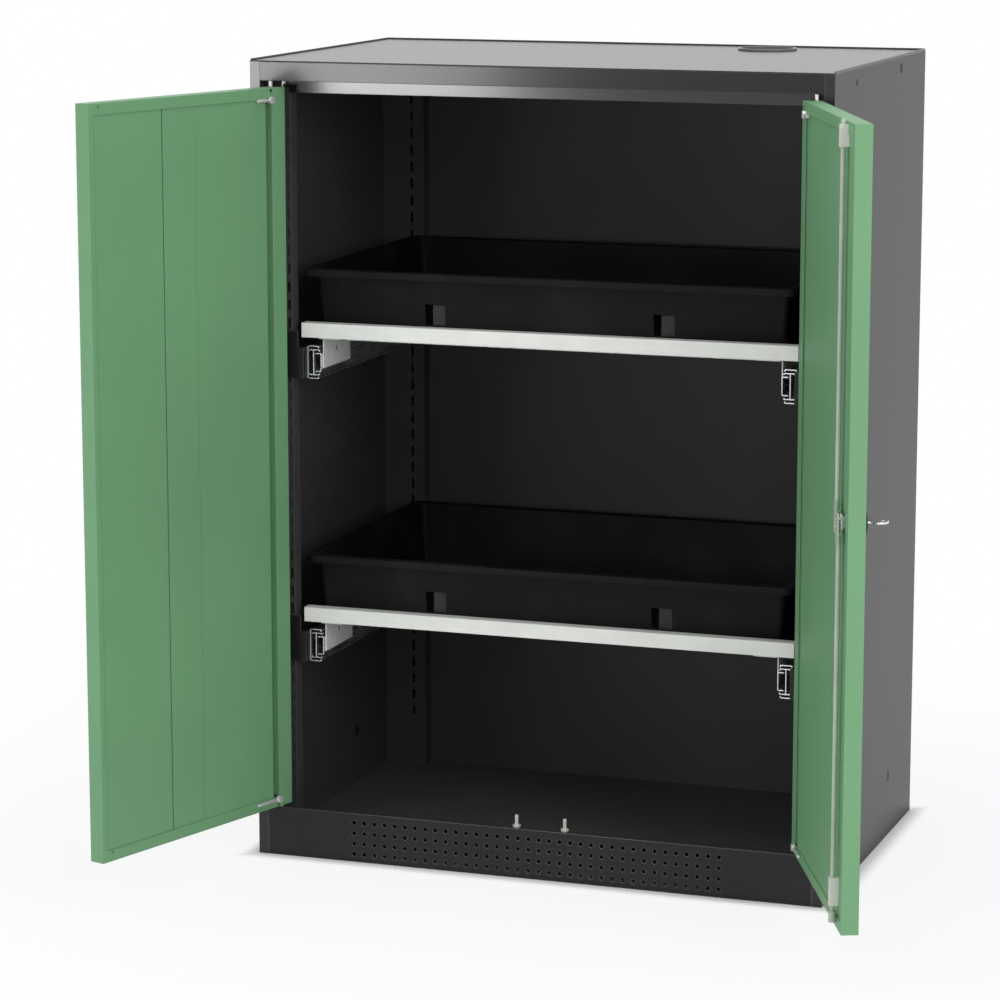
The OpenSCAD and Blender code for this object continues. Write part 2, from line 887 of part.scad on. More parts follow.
module upper_tray() {
  tray(upper_z);
}

module upper_front_bar() {
  front_bar(upper_z);
}

module upper_cross_rails() {
  cross_rails(upper_z);
}

module upper_side_plates() {
  side_plates(upper_z);
}

module upper_tray_clips() {
  tray_clips(upper_z);
}

module upper_inner_rails() {
  both_hands() inner_rail(upper_z);
}

module lower_tray() {
  tray(lower_z);
}

module lower_front_bar() {
  front_bar(lower_z);
}

module lower_cross_rails() {
  cross_rails(lower_z);
}

module lower_side_plates() {
  side_plates(lower_z);
}

module lower_tray_clips() {
  tray_clips(lower_z);
}

module lower_inner_rails() {
  both_hands() inner_rail(lower_z);
}

/* ---- Doors, drawn closed and left-hand ---- */

module door_pan() {
  difference() {
    box(door_x0, door_x1, door_y0, door_y1, door_z0, door_z1);
    box(door_x0 + door_sheet, door_x1 - door_sheet, door_y0 + door_sheet, lip_y,
        door_z0 + door_sheet, door_z1 - door_sheet);
    box(channel_x0, door_x1 - free_lip, lip_y - 1, door_y1 + 1, door_z0 + end_lip, door_z1 - end_lip);
    box(channel_x0, channel_x1, lip_y - 1, door_y1 + 1,
        door_z0 + min(lower_arm_in - arm_gap, end_lip), door_z0 + end_lip + 1);
    box(channel_x0, channel_x1, lip_y - 1, door_y1 + 1,
        door_z1 - end_lip - 1, door_z1 - min(upper_arm_in - arm_gap, end_lip));
    for (z = [door_z0 - 1, door_z1 - door_sheet - 1])
      bar_z(pivot_x, pivot_y, bolt_r + bolt_clear, z, z + door_sheet + 2);
    for (z = [door_z0 + 1 + lip_hole / 2, door_z1 - 1 - lip_hole / 2])
      bar_y(channel_x0 + 1, z, lip_hole / 2, lip_y - 1, door_y1 + 1);
  }
}

module door_liner() {
  x1 = door_x1 - door_sheet;
  seam_x = door_x1 - seam_in;
  z0 = door_z0 + door_sheet;
  z1 = door_z1 - door_sheet;
  difference() {
    union() {
      box(channel_x1, x1, lip_y - door_sheet, lip_y, z0, z1);
      box(channel_x1, channel_x1 + door_sheet, door_y0 + door_sheet, lip_y, z0, z1);
    }
    box(seam_x - seam_w / 2, seam_x + seam_w / 2, lip_y - seam_d, lip_y + 1, z0 - 1, z1 + 1);
  }
}

module hinge_bracket() {
  x0 = door_x0 + door_sheet;
  y0 = door_y0 + door_sheet;
  z1 = door_z1 - door_sheet;
  z0 = z1 - hb_h;
  difference() {
    union() {
      box(x0, x0 + hb_t, y0, lip_y, z0, z1);
      box(x0, channel_x0 - 3, y0, lip_y, z1 - hb_t, z1);
      box(x0, channel_x0 - 3, y0, lip_y, z0, z0 + hb_t);
    }
    bar_z(pivot_x, pivot_y, bore_r, z0 - 1, z1 + 1);
  }
}

module hinge_brackets() {
  color(zinc) {
    hinge_bracket();
    at_bottom() hinge_bracket();
  }
}

// The bolt slides up into its bushing; its arm comes out through the open channel.
module hinge_bolt(reach, arm_in, arm_len) {
  z = door_z1 - arm_in;
  r = arm_dia / 2;
  s = r - 0.5;
  bar_z(pivot_x, pivot_y, bolt_r, door_z1 - door_sheet - hb_h - 5, door_z1 + reach);
  box(pivot_x, arm_x + s, pivot_y - s, pivot_y + s, z - s, z + s);
  box(arm_x - s, arm_x + s, pivot_y - s, arm_y, z - s, z + s);
  bar_y(arm_x - 2, z, arm_head / 2, door_y1 + 0.4, arm_y + r + 0.5);
  bar_x(arm_y, z, r, arm_x, arm_x + arm_len);
}

module hinge_bolts() {
  color(zinc) {
    hinge_bolt(top_gap + bush_len, upper_arm_in, upper_arm_len);
    at_bottom() hinge_bolt(door_z0 - sill_z - 1, lower_arm_in, lower_arm_len);
  }
}

module left_door_shell() {
  color(door_green) opened(left_open) difference() {
    door_pan();
    for (z = [door_z0 + end_lip - lip_hole / 2 - 0.5, door_z1 - 5])
      bar_y(door_x1 - catch_in, z, lip_hole / 2 - 0.5, lip_y - 1, door_y1 + 1);
  }
}

module left_door_liner() {
  color(door_green) opened(left_open) door_liner();
}

module left_hinge_bolts() {
  opened(left_open) hinge_bolts();
}

module left_hinge_brackets() {
  opened(left_open) hinge_brackets();
}

module right_door_shell() {
  color(door_green) right_hand() opened(right_open) difference() {
    door_pan();
    bar_y(lock_x, lock_z, housing_dia / 2 + housing_gap, door_y0 - 1, door_y0 + door_sheet + 1);
  }
}

module right_door_liner() {
  color(door_green) right_hand() opened(right_open) difference() {
    door_liner();
    bar_y(lock_x, lock_z, housing_dia / 2 + housing_gap, door_y0, door_y1);
  }
}

module right_hinge_bolts() {
  right_hand() opened(right_open) hinge_bolts();
}

module right_hinge_brackets() {
  right_hand() opened(right_open) hinge_brackets();
}

/* ---- Lock of the right door ---- */

module lock_escutcheon() {
  color(black_plastic) right_hand() opened(right_open) difference() {
    bar_y(lock_x, lock_z, plate_dia / 2, door_y0 - plate_t, door_y0);
    bar_y(lock_x, lock_z, housing_dia / 2 + housing_gap, door_y0 - plate_t - 1, door_y0 + 1);
  }
}

module lock_housing() {
  color(zinc) right_hand() opened(right_open) difference() {
    union() {
      bar_y(lock_x, lock_z, housing_dia / 2, housing_y0, door_y1);
      bar_y(lock_x, lock_z, housing_dia / 2 + 4, door_y0 + door_sheet, door_y0 + door_sheet + 3);
    }
    bar_y(lock_x, lock_z, core_dia / 2 + core_run, housing_y0 - 1, door_y1 + 1);
  }
}

module lock_core() {
  color(zinc) right_hand() opened(right_open) difference() {
    union() {
      bar_y(lock_x, lock_z, core_dia / 2 + 1.5, housing_y0 - 1.3, housing_y0 - 0.3);
      bar_y(lock_x, lock_z, core_dia / 2, housing_y0 - 1.3, cam_y0 + 1);
      bar_y(lock_x, lock_z, cam_dia / 2, cam_y0, cam_y1);
      bar_y(lock_x - cam_side, lock_z - cam_lift, cam_pin / 2, cam_y1 - 1, yoke_y1 + 0.8);
      bar_y(lock_x + cam_side, lock_z + cam_lift, cam_pin / 2, cam_y1 - 1, yoke_y1 + 0.8);
    }
    box(lock_x - 4.2, lock_x + 4.2, door_y0 - plate_t - 2, door_y0 + 15, lock_z - 1.3, lock_z + 1.3);
  }
}

module key() {
  y1 = housing_y0 - 1.5;
  y0 = y1 - key_len;
  color(zinc) right_hand() opened(right_open) union() {
    box(lock_x - 4, lock_x + 4, y1 - 2, door_y0 + 14, lock_z - 1.1, lock_z + 1.1);
    translate([lock_x - half_w, -half_d, lock_z - key_t / 2]) linear_extrude(key_t) difference() {
      union() {
        translate([0, y0 + key_w / 2]) circle(d = key_w);
        translate([-4.5, y0 + key_w / 2]) square([9, y1 - y0 - key_w / 2]);
      }
      translate([0, y0 + 6]) circle(r = 2.6);
    }
  }
}

// The slotted plate that a cam pin drives: s tells which side of the lock it is on.
module yoke(s, z, z0, z1) {
  x = lock_x + s * rod_x;
  difference() {
    box(min(x - s * yoke_in, x + s * yoke_out), max(x - s * yoke_in, x + s * yoke_out),
        yoke_y1 - yoke_t, yoke_y1, z0, z1);
    box(x - yoke_slot, x + yoke_slot, yoke_y1 - yoke_t - 1, yoke_y1 + 1,
        z - cam_pin / 2 - pin_play, z + cam_pin / 2 + pin_play);
  }
}

module upper_lock_rod() {
  z = lock_z - cam_lift;
  color(pale_grey) right_hand() opened(right_open) union() {
    yoke(-1, z, z - 7, z + rod_start + 10);
    bar_z(lock_x - rod_x, rod_y, rod_r, z + rod_start, rail_z - 6);
  }
}

module lower_lock_rod() {
  z = lock_z + cam_lift;
  x = lock_x + rod_x;
  color(pale_grey) right_hand() opened(right_open) difference() {
    union() {
      yoke(1, z, z - rod_start - 10, z + 7);
      bar_z(x, rod_y, rod_r, socket_z0 + socket_h - 1, z - rod_start);
      bar_z(x, rod_y, socket_dia / 2, socket_z0, socket_z0 + socket_h);
    }
    bar_z(x, rod_y, pin_dia / 2 + socket_run, socket_z0 - 1, socket_z0 + socket_h - 2);
  }
}

module rod_guide(x, z0, z1, foot_z1) {
  difference() {
    union() {
      box(x - guide_w / 2, x + guide_w / 2, door_y1, door_y1 + guide_d, z0, z1);
      box(x - guide_w / 2, x + guide_w / 2, lip_y, door_y1 + 1, z0, foot_z1);
    }
    bar_z(x, rod_y, rod_r + rod_run, z0 - 1, z1 + 1);
  }
}

module rod_guides() {
  color(white_plastic) right_hand() opened(right_open) {
    rod_guide(lock_x - rod_x, guide_z1 - upper_guide_h, guide_z1, door_z1 - end_lip);
    rod_guide(lock_x + rod_x, guide_z0, guide_z0 + lower_guide_h, guide_z0 + lower_guide_h);
  }
}

left_side_panel();
right_side_panel();
back_panel();
top_panel();
top_rail();
floor_panel();
plinth_panel();
plinth_stiffener();
sill_channel();
left_front_post();
right_front_post();
left_rear_post();
right_rear_post();
exhaust_collar();
sill_pins();
hinge_bushings();
hole_plugs();
upper_slide_brackets();
lower_slide_brackets();
upper_left_outer_rail();
upper_right_outer_rail();
lower_left_outer_rail();
lower_right_outer_rail();
upper_left_middle_rail();
upper_right_middle_rail();
lower_left_middle_rail();
lower_right_middle_rail();
upper_outer_cages();
upper_inner_cages();
lower_outer_cages();
lower_inner_cages();
upper_tray();
upper_front_bar();
upper_cross_rails();
upper_side_plates();
upper_tray_clips();
upper_inner_rails();
lower_tray();
lower_front_bar();
lower_cross_rails();
lower_side_plates();
lower_tray_clips();
lower_inner_rails();
left_door_shell();
left_door_liner();
left_hinge_bolts();
left_hinge_brackets();
right_door_shell();
right_door_liner();
right_hinge_bolts();
right_hinge_brackets();
lock_escutcheon();
lock_housing();
lock_core();
key();
upper_lock_rod();
lower_lock_rod();
rod_guides();
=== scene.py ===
import math

import bmesh
import bpy
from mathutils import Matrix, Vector


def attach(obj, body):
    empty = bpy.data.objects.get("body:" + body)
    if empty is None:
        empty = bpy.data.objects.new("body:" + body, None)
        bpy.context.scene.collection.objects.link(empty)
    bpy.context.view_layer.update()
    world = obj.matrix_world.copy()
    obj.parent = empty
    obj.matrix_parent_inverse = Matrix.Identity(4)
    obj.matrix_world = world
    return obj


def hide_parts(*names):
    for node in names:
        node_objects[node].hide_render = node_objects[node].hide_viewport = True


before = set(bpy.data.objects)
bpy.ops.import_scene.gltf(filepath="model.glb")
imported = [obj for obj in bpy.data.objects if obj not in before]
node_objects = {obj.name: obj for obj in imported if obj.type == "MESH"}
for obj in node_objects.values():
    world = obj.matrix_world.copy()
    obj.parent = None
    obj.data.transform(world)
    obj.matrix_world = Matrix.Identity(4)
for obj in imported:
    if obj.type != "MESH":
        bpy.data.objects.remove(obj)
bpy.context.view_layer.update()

# Sizes and places are in mm, and angles in degrees. Places count from the cabinet's left side, its front
# and the floor.
MM = 0.001
CABINET_WIDTH = 810.0
CABINET_DEPTH = 520.0
CABINET_HEIGHT = 1105.0
TRAY_Z = {"upper": 727.0, "lower": 328.5}

DOOR_OPEN = {"left": 107.4, "right": 113.7}
DOOR_LOW = 74.0
DOOR_TOP = 1069.5
PIVOT_X = 26.0
PIVOT_Y = 9.0
LOCK_X = 363.0
LOCK_Z = 583.5

# The liner's seam and fold line, as distances from the door's pivot.
LINER_SEAM_AT = 237.0
LINER_FOLD_AT = 173.0
# The painted shade in the liner's seam and on its fold line: its half width, and how dark it is as a share
# of the door's tone.
SEAM_HALF_WIDTH = 1.3
SEAM_SHADE = 0.3


def at(x, y, z):
    """A place in the cabinet, in metres of the frame."""
    return Vector((x - CABINET_WIDTH / 2, y - CABINET_DEPTH / 2, z)) * MM


def on_door(side, x, y, z):
    """A place on a closed left-hand door, in cabinet mm, as the open door of that side has it."""
    turn = math.radians(-DOOR_OPEN[side])
    dx, dy = x - PIVOT_X, y - PIVOT_Y
    turned_x = PIVOT_X + dx * math.cos(turn) - dy * math.sin(turn)
    turned_y = PIVOT_Y + dx * math.sin(turn) + dy * math.cos(turn)
    return at(turned_x if side == "left" else CABINET_WIDTH - turned_x, turned_y, z)


# ---- Shader groups ----


def new_group(name, inputs, outputs):
    """An empty shader group with named sockets. Returns the group and its input and output nodes."""
    group = bpy.data.node_groups.new(name, "ShaderNodeTree")
    for socket_name, kind, value in inputs:
        made = group.interface.new_socket(name=socket_name, in_out="INPUT", socket_type=kind)
        made.default_value = value
    for socket_name, kind in outputs:
        group.interface.new_socket(name=socket_name, in_out="OUTPUT", socket_type=kind)
    return group, group.nodes.new("NodeGroupInput"), group.nodes.new("NodeGroupOutput")


def add(tree, kind, settings=None, **inputs):
    """A node with its settings, and with its sockets set to values or linked from other sockets."""
    node = tree.nodes.new(kind)
    for key, value in (settings or {}).items():
        setattr(node, key, value)
    for key, value in inputs.items():
        name = key.replace("_", " ")
        if key[0] == "i" and key[1:].isdigit():
            target = node.inputs[int(key[1:])]
        else:
            target = node.inputs[name]
        if isinstance(value, bpy.types.NodeSocket):
            tree.links.new(value, target)
        else:
            target.default_value = value
    return node


def use_group(tree, group, values=None):
    """A shader group's node, with its sockets set to values."""
    node = tree.nodes.new("ShaderNodeGroup")
    node.node_tree = group
    for key, value in (values or {}).items():
        node.inputs[key].default_value = value
    return node


def math_node(tree, operation, a, b=0.0, clamp=False):
    """The output of a sum, product or other operation on two values or sockets."""
    return add(tree, "ShaderNodeMath", {"operation": operation, "use_clamp": clamp}, i0=a, i1=b).outputs[0]


def mix_colour(tree, share, a, b):
    """Colour a at share 0, colour b at share 1."""
    node = tree.nodes.new("ShaderNodeMix")
    node.data_type = "RGBA"
    sockets = {"Factor": node.inputs[0], "A": node.inputs[6], "B": node.inputs[7]}
    for key, value in (("Factor", share), ("A", a), ("B", b)):
        if isinstance(value, bpy.types.NodeSocket):
            tree.links.new(value, sockets[key])
        else:
            sockets[key].default_value = value
    return node.outputs[2]


def spread(tree, value, low, high, to_low=0.0, to_high=1.0):
    """A value's smooth way from to_low, where it is low, to to_high, where it is high."""
    node = add(tree, "ShaderNodeMapRange", {"clamp": True, "interpolation_type": "SMOOTHSTEP"})
    tree.links.new(value, node.inputs[0])
    for i, number in enumerate((low, high, to_low, to_high)):
        if isinstance(number, bpy.types.NodeSocket):
            tree.links.new(number, node.inputs[i + 1])
        else:
            node.inputs[i + 1].default_value = number
    return node.outputs[0]


def stretched_place(tree, stretch):
    """Object coordinates, scaled by one factor along each axis."""
    place = add(tree, "ShaderNodeTexCoord").outputs["Object"]
    return add(tree, "ShaderNodeMapping", Vector=place, Scale=stretch).outputs["Vector"]


def noise(tree, place, scale, detail=2.0, roughness=0.5):
    return add(
        tree, "ShaderNodeTexNoise", Vector=place, Scale=scale, Detail=detail, Roughness=roughness
    ).outputs["Fac"]


def build_rounded_edge(name, radius):
    """Softens a sharp fold and marks it for the painted edge highlight: 1 on the edge, 0 on the flat."""
    group, _, out = new_group(name, [], [("Mask", "NodeSocketFloat"), ("Normal", "NodeSocketVector")])
    soft = add(group, "ShaderNodeBevel", {"samples": 6}, Radius=radius * MM)
    true = add(group, "ShaderNodeNewGeometry").outputs["Normal"]
    same = add(
        group, "ShaderNodeVectorMath", {"operation": "DOT_PRODUCT"}, i0=soft.outputs[0], i1=true
    ).outputs["Value"]
    mask = spread(group, math_node(group, "SUBTRACT", 1.0, same), 0.01, 0.25)
    group.links.new(mask, out.inputs["Mask"])
    group.links.new(soft.outputs[0], out.inputs["Normal"])
    return group


def build_carcass_inside():
    """1 on what faces the inside of the carcass, 0 on its outer faces."""
    group, _, out = new_group("carcass_inside", [], [("Mask", "NodeSocketFloat")])
    place = add(group, "ShaderNodeTexCoord").outputs["Object"]
    apart = add(group, "ShaderNodeSeparateXYZ", Vector=place).outputs
    depths = (
        math_node(group, "SUBTRACT", CABINET_WIDTH / 2 * MM, math_node(group, "ABSOLUTE", apart["X"])),
        math_node(group, "SUBTRACT", CABINET_DEPTH / 2 * MM, math_node(group, "ABSOLUTE", apart["Y"])),
        math_node(group, "SUBTRACT", CABINET_HEIGHT * MM, apart["Z"]),
    )
    least = math_node(group, "MINIMUM", math_node(group, "MINIMUM", depths[0], depths[1]), depths[2])
    group.links.new(spread(group, least, 0.6 * MM, 1.2 * MM), out.inputs["Mask"])
    return group


def build_beyond():
    """0 before one distance along an axis, 1 past another."""
    group, given, out = new_group(
        "beyond",
        [
            ("Axis", "NodeSocketVector", (0.0, -1.0, 0.0)),
            ("From", "NodeSocketFloat", 0.0),
            ("To", "NodeSocketFloat", 0.001),
        ],
        [("Mask", "NodeSocketFloat")],
    )
    place = add(group, "ShaderNodeTexCoord").outputs["Object"]
    along = add(
        group, "ShaderNodeVectorMath", {"operation": "DOT_PRODUCT"}, i0=place, i1=given.outputs["Axis"]
    ).outputs["Value"]
    group.links.new(spread(group, along, given.outputs["From"], given.outputs["To"]), out.inputs["Mask"])
    return group


def build_liner_seam_shade():
    """1 in the seam and, weaker, on the fold line of a door's liner: where painted shade darkens it."""
    group, given, out = new_group(
        "liner_seam",
        [
            ("Pivot", "NodeSocketVector", (0.0, 0.0, 0.0)),
            ("Along", "NodeSocketVector", (1.0, 0.0, 0.0)),
            ("Seam At", "NodeSocketFloat", LINER_SEAM_AT * MM),
            ("Fold At", "NodeSocketFloat", LINER_FOLD_AT * MM),
            ("Half Width", "NodeSocketFloat", SEAM_HALF_WIDTH * MM),
            ("Fold Share", "NodeSocketFloat", 0.2),
        ],
        [("Mask", "NodeSocketFloat")],
    )
    place = add(group, "ShaderNodeTexCoord").outputs["Object"]
    away = add(
        group, "ShaderNodeVectorMath", {"operation": "SUBTRACT"}, i0=place, i1=given.outputs["Pivot"]
    ).outputs[0]
    along = add(
        group, "ShaderNodeVectorMath", {"operation": "DOT_PRODUCT"}, i0=away, i1=given.outputs["Along"]
    ).outputs["Value"]
    lines = []
    for line in ("Seam At", "Fold At"):
        off = math_node(group, "ABSOLUTE", math_node(group, "SUBTRACT", along, given.outputs[line]))
        half = given.outputs["Half Width"]
        lines.append(spread(group, off, math_node(group, "MULTIPLY", half, 0.5), half, 1.0, 0.0))
    fold = math_node(group, "MULTIPLY", lines[1], given.outputs["Fold Share"])
    group.links.new(math_node(group, "MAXIMUM", lines[0], fold), out.inputs["Mask"])
    return group


def build_coat_skin():
    """Powder coat: orange peel, fine flecks, a slow drift of tone and a painted highlight over the folds."""
    group, given, out = new_group(
        "coat_skin",
        [
            ("Tone", "NodeSocketColor", (0.5, 0.5, 0.5, 1)),
            ("Edge Highlight", "NodeSocketColor", (0.6, 0.6, 0.6, 1)),
            ("Edge", "NodeSocketFloat", 0.0),
            ("Drift", "NodeSocketFloat", 0.08),
            ("Fleck", "NodeSocketFloat", 0.05),
            ("Gloss Low", "NodeSocketFloat", 0.35),
            ("Gloss High", "NodeSocketFloat", 0.45),
            ("Peel Scale", "NodeSocketFloat", 700.0),
        ],
        [("Color", "NodeSocketColor"), ("Roughness", "NodeSocketFloat"), ("Height", "NodeSocketFloat")],
    )
    place = add(group, "ShaderNodeTexCoord").outputs["Object"]
    slow = noise(group, place, 2.2, 3.0, 0.6)
    peel = noise(group, place, given.outputs["Peel Scale"], 2.0, 0.45)
    speck = noise(group, place, 2600.0, 1.0, 0.5)
    drift = math_node(group, "MULTIPLY", spread(group, slow, 0.3, 0.7, -1.0, 1.0), given.outputs["Drift"])
    fleck = math_node(group, "MULTIPLY", spread(group, speck, 0.35, 0.65, -1.0, 1.0), given.outputs["Fleck"])
    level = math_node(group, "ADD", math_node(group, "ADD", drift, fleck), 1.0)
    toned = add(group, "ShaderNodeVectorMath", {"operation": "SCALE"}, i0=given.outputs["Tone"], Scale=level)
    # Painted highlight: over the folds the coat turns towards the edge highlight tone, more strongly in some
    # stretches than others.
    share = math_node(group, "MULTIPLY", given.outputs["Edge"], spread(group, slow, 0.3, 0.75, 0.35, 1.0))
    colour = mix_colour(group, share, toned.outputs[0], given.outputs["Edge Highlight"])
    rough = spread(group, peel, 0.25, 0.75, given.outputs["Gloss Low"], given.outputs["Gloss High"])
    group.links.new(colour, out.inputs["Color"])
    group.links.new(rough, out.inputs["Roughness"])
    group.links.new(peel, out.inputs["Height"])
    return group


def build_spangle_skin():
    """Galvanised sheet: zinc crystals a few mm wide, with fine rolling lines along the depth."""
    group, given, out = new_group(
        "spangle_skin",
        [
            ("Pale", "NodeSocketColor", (0.7, 0.7, 0.7, 1)),
            ("Dark", "NodeSocketColor", (0.45, 0.46, 0.47, 1)),
            ("Crystal Scale", "NodeSocketFloat", 160.0),
            ("Gloss Low", "NodeSocketFloat", 0.25),
            ("Gloss High", "NodeSocketFloat", 0.5),
        ],
        [("Color", "NodeSocketColor"), ("Roughness", "NodeSocketFloat"), ("Height", "NodeSocketFloat")],
    )
    place = add(group, "ShaderNodeTexCoord").outputs["Object"]
    crystal = add(
        group, "ShaderNodeTexVoronoi", {"feature": "F1"}, Vector=place, Scale=given.outputs["Crystal Scale"]
    )
    grey = add(group, "ShaderNodeSeparateColor", Color=crystal.outputs["Color"]).outputs[0]
    lines = noise(group, stretched_place(group, (900.0, 12.0, 900.0)), 1.0, 2.0)
    crystal_share = math_node(group, "MULTIPLY", grey, 0.7)
    line_share = math_node(group, "MULTIPLY", lines, 0.3)
    share = math_node(group, "ADD", crystal_share, line_share)
    colour = mix_colour(group, share, given.outputs["Dark"], given.outputs["Pale"])
    group.links.new(colour, out.inputs["Color"])
    rough = spread(group, grey, 0.0, 1.0, given.outputs["Gloss High"], given.outputs["Gloss Low"])
    group.links.new(rough, out.inputs["Roughness"])
    group.links.new(lines, out.inputs["Height"])
    return group


def build_drawn_skin():
    """Drawn or turned metal: hairlines along one axis."""
    group, given, out = new_group(
        "drawn_skin",
        [
            ("Pale", "NodeSocketColor", (0.8, 0.8, 0.8, 1)),
            ("Dark", "NodeSocketColor", (0.6, 0.6, 0.6, 1)),
            ("Stretch", "NodeSocketVector", (10.0, 1500.0, 1500.0)),
            ("Gloss Low", "NodeSocketFloat", 0.18),
            ("Gloss High", "NodeSocketFloat", 0.36),
        ],
        [("Color", "NodeSocketColor"), ("Roughness", "NodeSocketFloat"), ("Height", "NodeSocketFloat")],
    )
    place = add(group, "ShaderNodeTexCoord").outputs["Object"]
    along = add(
        group, "ShaderNodeVectorMath", {"operation": "MULTIPLY"}, i0=place, i1=given.outputs["Stretch"]
    ).outputs[0]
    hair = noise(group, along, 1.0, 3.0, 0.6)
    cloud = noise(group, place, 25.0, 2.0)
    share = math_node(group, "MULTIPLY", math_node(group, "ADD", hair, cloud), 0.5)
    share = spread(group, share, 0.35, 0.65)
    colour = mix_colour(group, share, given.outputs["Dark"], given.outputs["Pale"])
    group.links.new(colour, out.inputs["Color"])
    rough = spread(group, hair, 0.3, 0.7, given.outputs["Gloss Low"], given.outputs["Gloss High"])
    group.links.new(rough, out.inputs["Roughness"])
    group.links.new(hair, out.inputs["Height"])
    return group


def build_moulded_skin():
    """Moulded plastic: a fine pebbled grain, a faint bloom and a painted highlight on its edges."""
    group, given, out = new_group(
        "moulded_skin",
        [
            ("Tone", "NodeSocketColor", (0.02, 0.02, 0.02, 1)),
            ("Rub", "NodeSocketColor", (0.05, 0.05, 0.05, 1)),
            ("Edge", "NodeSocketFloat", 0.0),
            ("Grain Scale", "NodeSocketFloat", 1100.0),
            ("Gloss Low", "NodeSocketFloat", 0.45),
            ("Gloss High", "NodeSocketFloat", 0.62),
        ],
        [("Color", "NodeSocketColor"), ("Roughness", "NodeSocketFloat"), ("Height", "NodeSocketFloat")],
    )
    place = add(group, "ShaderNodeTexCoord").outputs["Object"]
    pebble = add(
        group, "ShaderNodeTexVoronoi", {"feature": "SMOOTH_F1"},
        Vector=place, Scale=given.outputs["Grain Scale"],
    ).outputs["Distance"]
    bloom = noise(group, place, 9.0, 3.0, 0.6)
    bloom_share = math_node(group, "MULTIPLY", spread(group, bloom, 0.45, 0.75), 0.25)
    # Painted highlight: on the edges the plastic turns towards the bloom and edge highlight tone.
    edge_highlight_share = math_node(group, "MULTIPLY", given.outputs["Edge"], 0.6)
    share = math_node(group, "ADD", bloom_share, edge_highlight_share, clamp=True)
    colour = mix_colour(group, share, given.outputs["Tone"], given.outputs["Rub"])
    group.links.new(colour, out.inputs["Color"])
    rough = spread(group, bloom, 0.3, 0.7, given.outputs["Gloss Low"], given.outputs["Gloss High"])
    group.links.new(rough, out.inputs["Roughness"])
    group.links.new(pebble, out.inputs["Height"])
    return group


ROUNDED_EDGE = build_rounded_edge("rounded_edge", 1.2)
ROUNDED_FOLD = build_rounded_edge("rounded_fold", 2.6)
BEYOND = build_beyond()
CARCASS_INSIDE = build_carcass_inside()
LINER_SEAM = build_liner_seam_shade()
COAT_SKIN = build_coat_skin()
SPANGLE_SKIN = build_spangle_skin()
DRAWN_SKIN = build_drawn_skin()
MOULDED_SKIN = build_moulded_skin()


# ---- Materials ----


def rgb(red, green, blue):
    return (red, green, blue, 1.0)


GRAIN_DEPTH = 0.1
LACQUER_ROUGHNESS = 0.14


def with_seam_shade(tree, colour, side, tone):
    """A door's colour, with painted shade in the seam of its liner and, weaker, on its fold line."""
    start = on_door(side, PIVOT_X, PIVOT_Y, 0.0)
    end = on_door(side, PIVOT_X + 1.0 / MM, PIVOT_Y, 0.0)
    line = use_group(tree, LINER_SEAM, {"Pivot": start, "Along": end - start})
    return mix_colour(tree, line.outputs["Mask"], colour, rgb(*(SEAM_SHADE * part for part in tone[:3])))


def finish(name, skin, values, bump=0.1, metallic=0.0, ior=1.45, fold=ROUNDED_EDGE,
           inside=None, seam=None, lacquer=None):
    """A material whose colour, gloss and grain come from a skin group, with its folds softened.

    With inside, the coat has a lighter tone where it faces the inside of the carcass, as painted fill
    light. With seam, painted shade darkens the seam and fold line in the liner of the door on that side.
    With lacquer, which is an axis, two distances and a weight, a clear coat lies past those distances
    along that axis."""
    material = bpy.data.materials.new(name)
    material.use_nodes = True
    tree = material.node_tree
    shader = tree.nodes["Principled BSDF"]
    edge = use_group(tree, fold)
    group = use_group(tree, skin, values)
    if "Edge" in group.inputs:
        tree.links.new(edge.outputs["Mask"], group.inputs["Edge"])
    # Painted fill light: where a face looks into the carcass, the coat takes the lighter inside tone.
    if inside:
        inside_fill_share = use_group(tree, CARCASS_INSIDE).outputs["Mask"]
        tree.links.new(mix_colour(tree, inside_fill_share, values["Tone"], inside), group.inputs["Tone"])
    colour = group.outputs["Color"]
    if seam:
        colour = with_seam_shade(tree, colour, seam, values["Tone"])
    tree.links.new(colour, shader.inputs["Base Color"])
    tree.links.new(group.outputs["Roughness"], shader.inputs["Roughness"])
    relief = add(
        tree, "ShaderNodeBump", Strength=bump, Distance=GRAIN_DEPTH * MM,
        Height=group.outputs["Height"], Normal=edge.outputs["Normal"],
    )
    tree.links.new(relief.outputs["Normal"], shader.inputs["Normal"])
    if lacquer:
        axis, start, end, weight = lacquer
        past = use_group(tree, BEYOND, {"Axis": axis, "From": start, "To": end}).outputs["Mask"]
        tree.links.new(math_node(tree, "MULTIPLY", past, weight), shader.inputs["Coat Weight"])
        shader.inputs["Coat Roughness"].default_value = LACQUER_ROUGHNESS
    shader.inputs["Metallic"].default_value = metallic
    shader.inputs["IOR"].default_value = ior
    return material


COAT_PEEL = 620.0
ROUGH_PEEL = 700.0

# A coat's axis and the distances along it where its lacquer starts.
FRONT_FACES = ((0.0, -1.0, 0.0), (CABINET_DEPTH / 2 - 1.2) * MM, (CABINET_DEPTH / 2 - 0.6) * MM)
BELOW_FASCIA = ((0.0, 0.0, -1.0), -1078.2 * MM, -1077.4 * MM)


def anthracite(name, tone, edge_highlight_tone, gloss, drift=0.08, fleck=0.12, peel=COAT_PEEL, bump=0.2, ior=1.33,
               **more):
    """An anthracite powder coat, with a painted highlight over its folds. Its gloss is the lowest and the
    highest roughness.
    """
    values = {
        "Tone": rgb(*tone), "Edge Highlight": rgb(*edge_highlight_tone), "Drift": drift, "Fleck": fleck,
        "Gloss Low": gloss[0], "Gloss High": gloss[1], "Peel Scale": peel,
    }
    return finish(name, COAT_SKIN, values, bump=bump, ior=ior, **more)
